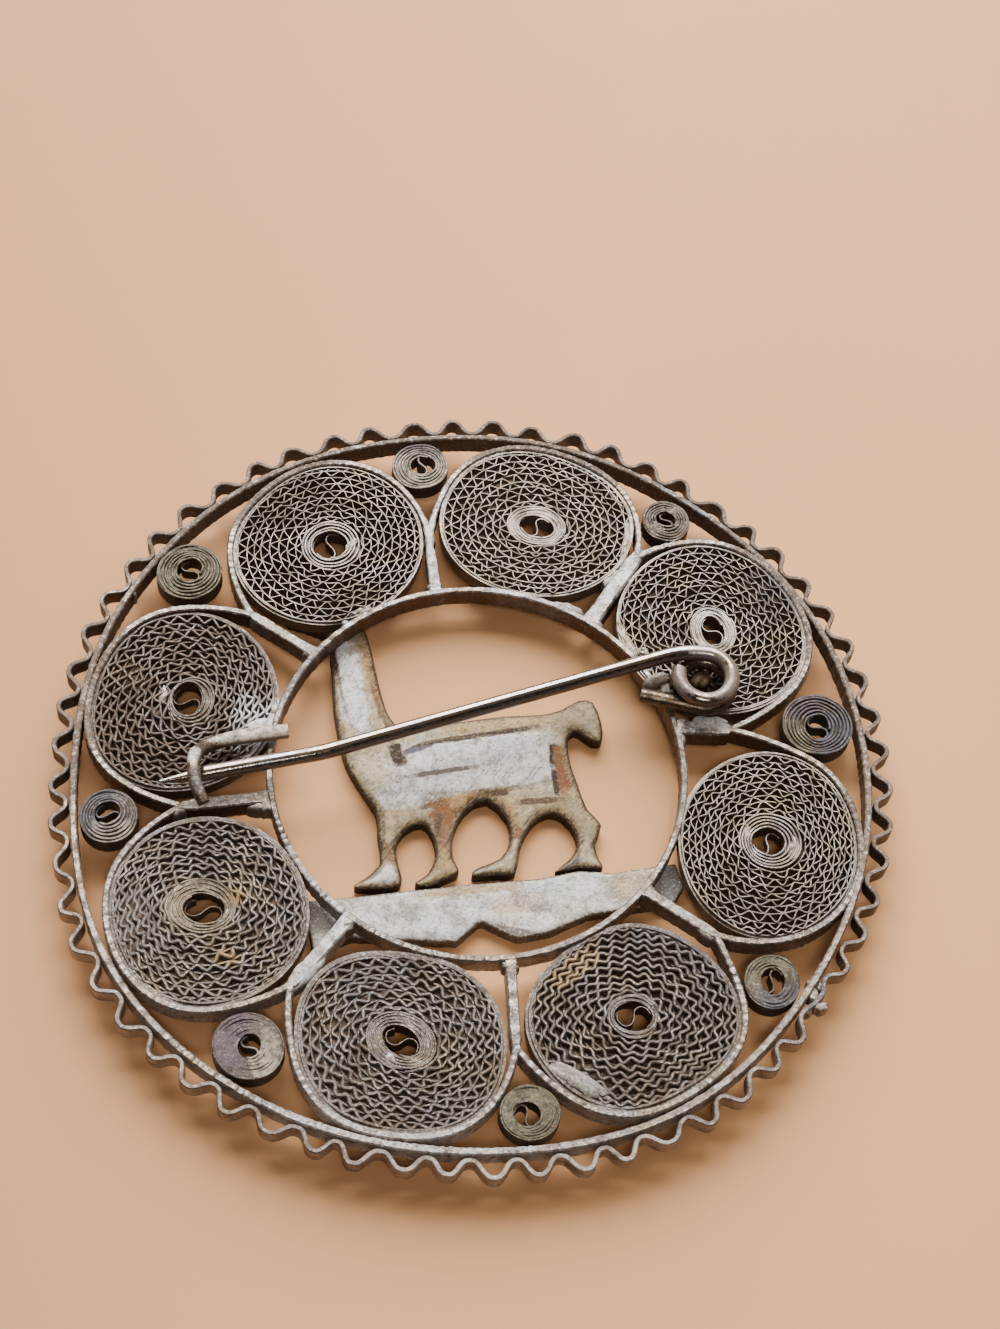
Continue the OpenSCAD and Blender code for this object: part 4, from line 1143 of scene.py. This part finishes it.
def fileSheet(node, plan):
    rng = np.random.default_rng(plan["seed"])
    blank = putInScene(plan["name"] + "Blank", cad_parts[node].data.copy())
    remesh = blank.modifiers.new("remesh", "REMESH")
    remesh.mode = "VOXEL"
    remesh.voxel_size = plan["voxel"] * mm
    soften = blank.modifiers.new("soften", "SMOOTH")
    soften.iterations = sheetWork["softened"]
    mesh = bpy.data.meshes.new_from_object(blank.evaluated_get(bpy.context.evaluated_depsgraph_get()))
    bpy.data.objects.remove(blank)
    corners = np.empty(len(mesh.vertices) * 3)
    mesh.vertices.foreach_get("co", corners)
    corners = corners.reshape(-1, 3) / mm
    x = corners[:, 0] - hoopAt[0]
    y = corners[:, 1] - hoopAt[1]
    z = corners[:, 2]
    height = z.max()
    wallLow, wallHigh = sheetWork["walls"]
    onWall = np.flatnonzero((z > height * wallLow) & (z < height * wallHigh))
    walls = kdtree.KDTree(len(onWall))
    for number, corner in enumerate(onWall):
        walls.insert((x[corner], y[corner], 0), number)
    walls.balance()
    width, drop = plan["filed"]
    worked = sheetWork["worked"]
    upper = np.flatnonzero(z > height * worked)
    inward = np.array([walls.find((x[corner], y[corner], 0))[2] for corner in upper])
    slope = np.clip(1 - inward / width, 0, 1) ** 2
    fall = drop * slope + plan["beaten"] * 0.6
    fall = fall - ripples(rng, plan["beaten"] * 0.5, 2.5, 0.5)(x[upper], y[upper])
    if plan["raised"]:
        highest = max(place[5] for place in plan["raised"])
        fall = fall + highest - sum(oblong(x[upper], y[upper], p[:5]) * p[5] for p in plan["raised"])
    share = np.clip((z[upper] / height - worked) / (1 - worked), 0, 1)
    corners[upper, 2] -= np.maximum(fall, 0) * share
    mesh.vertices.foreach_set("co", (corners * mm).ravel())
    mesh.materials.clear()
    mesh.materials.append(finishes[plan["finish"]])
    mesh.polygons.foreach_set("material_index", [0] * len(mesh.polygons))
    showPiece(mesh, plan["name"], node, sheetWork["sharp"])


# The catch: a bent wire whose tail is hammered flat and cut square

# columns: x, y, height of the wire's middle, half width, half thickness
catchWire = [
    (-10.78, 0.28, 3.15, 0.44, 0.3),
    (-12.91, -0.38, 3.15, 0.46, 0.3),
    (-14.3, -0.95, 3.2, 0.42, 0.34),
    (-15.18, -1.6, 3.45, 0.4, 0.38),
    (-15.55, -2.4, 4.1, 0.39, 0.39),
    (-15.6, -3.15, 4.85, 0.39, 0.39),
    (-15.46, -4.0, 5.23, 0.39, 0.39),
    (-15.22, -4.85, 5.27, 0.38, 0.38),
    (-14.87, -5.5, 5.19, 0.36, 0.36),
    (-14.48, -6.06, 5.07, 0.33, 0.33),
]
catchWork = {"steps": 5, "sides": 20, "square": 0.75}


def bendCatch():
    path = smoothPath(catchWire, catchWork["steps"])
    along = np.gradient(path[:, :3], axis=0)
    along /= np.linalg.norm(along, axis=1)[:, None]
    across = np.cross(along, (0, 0, 1))
    across /= np.linalg.norm(across, axis=1)[:, None]
    rise = np.cross(across, along)
    sides = catchWork["sides"]
    turned = np.arange(sides) / sides * fullTurn
    square = catchWork["square"]
    wide = np.sign(np.cos(turned)) * np.abs(np.cos(turned)) ** square
    tall = np.sign(np.sin(turned)) * np.abs(np.sin(turned)) ** square
    corners = (path[:, None, :3] + across[:, None] * (path[:, 3:4] * wide)[..., None]
               + rise[:, None] * (path[:, 4:5] * tall)[..., None])
    pile = newPile()
    rings = len(path)
    addPart(pile, corners.reshape(-1, 3), loopFaces(rings, sides, False)[:, ::-1])
    pile["faces"].append(list(range(sides)))
    pile["faces"].append(list(range(rings * sides - 1, (rings - 1) * sides - 1, -1)))
    pile["finishes"].extend([0, 0])
    makePiece(pile, "bentCatch", ["wireSilver"], "catch")


# What keeps its CAD shape

keptNodes = {
    "pin_foot": "wireSilver",
    "pin": "pinSteel",
}


def dressKeptNodes():
    for node, look in keptNodes.items():
        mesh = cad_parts[node].data
        mesh.materials.clear()
        mesh.materials.append(finishes[look])


aimCamera(studio)
lightTheSky(studio)
for lightName, lightPlan in softBoxes.items():
    hangLight(lightName, lightPlan)
layFloor(studio)
print("camera, lights and floor set")

finishes = {name: agedSilver(name, {**usualLook, **look}, stains.get(name, []))
            for name, look in silverLooks.items()}
for number, coilPlan in enumerate(coils, 1):
    windCoil(number, {**usualCoil, **coilPlan}, coilWork)
print("coils wound")
for number, rosettePlan in enumerate(rosettes, 1):
    windRosette(number, rosettePlan, rosetteWork)
print("rosettes wound")
bendFrame()
crimpEdge()
print("strips and edge bent")
for sheetNode, sheetPlan in sheets.items():
    fileSheet(sheetNode, sheetPlan)
print("llama and ground filed")
bendCatch()
dressKeptNodes()
print("catch bent, pin dressed")
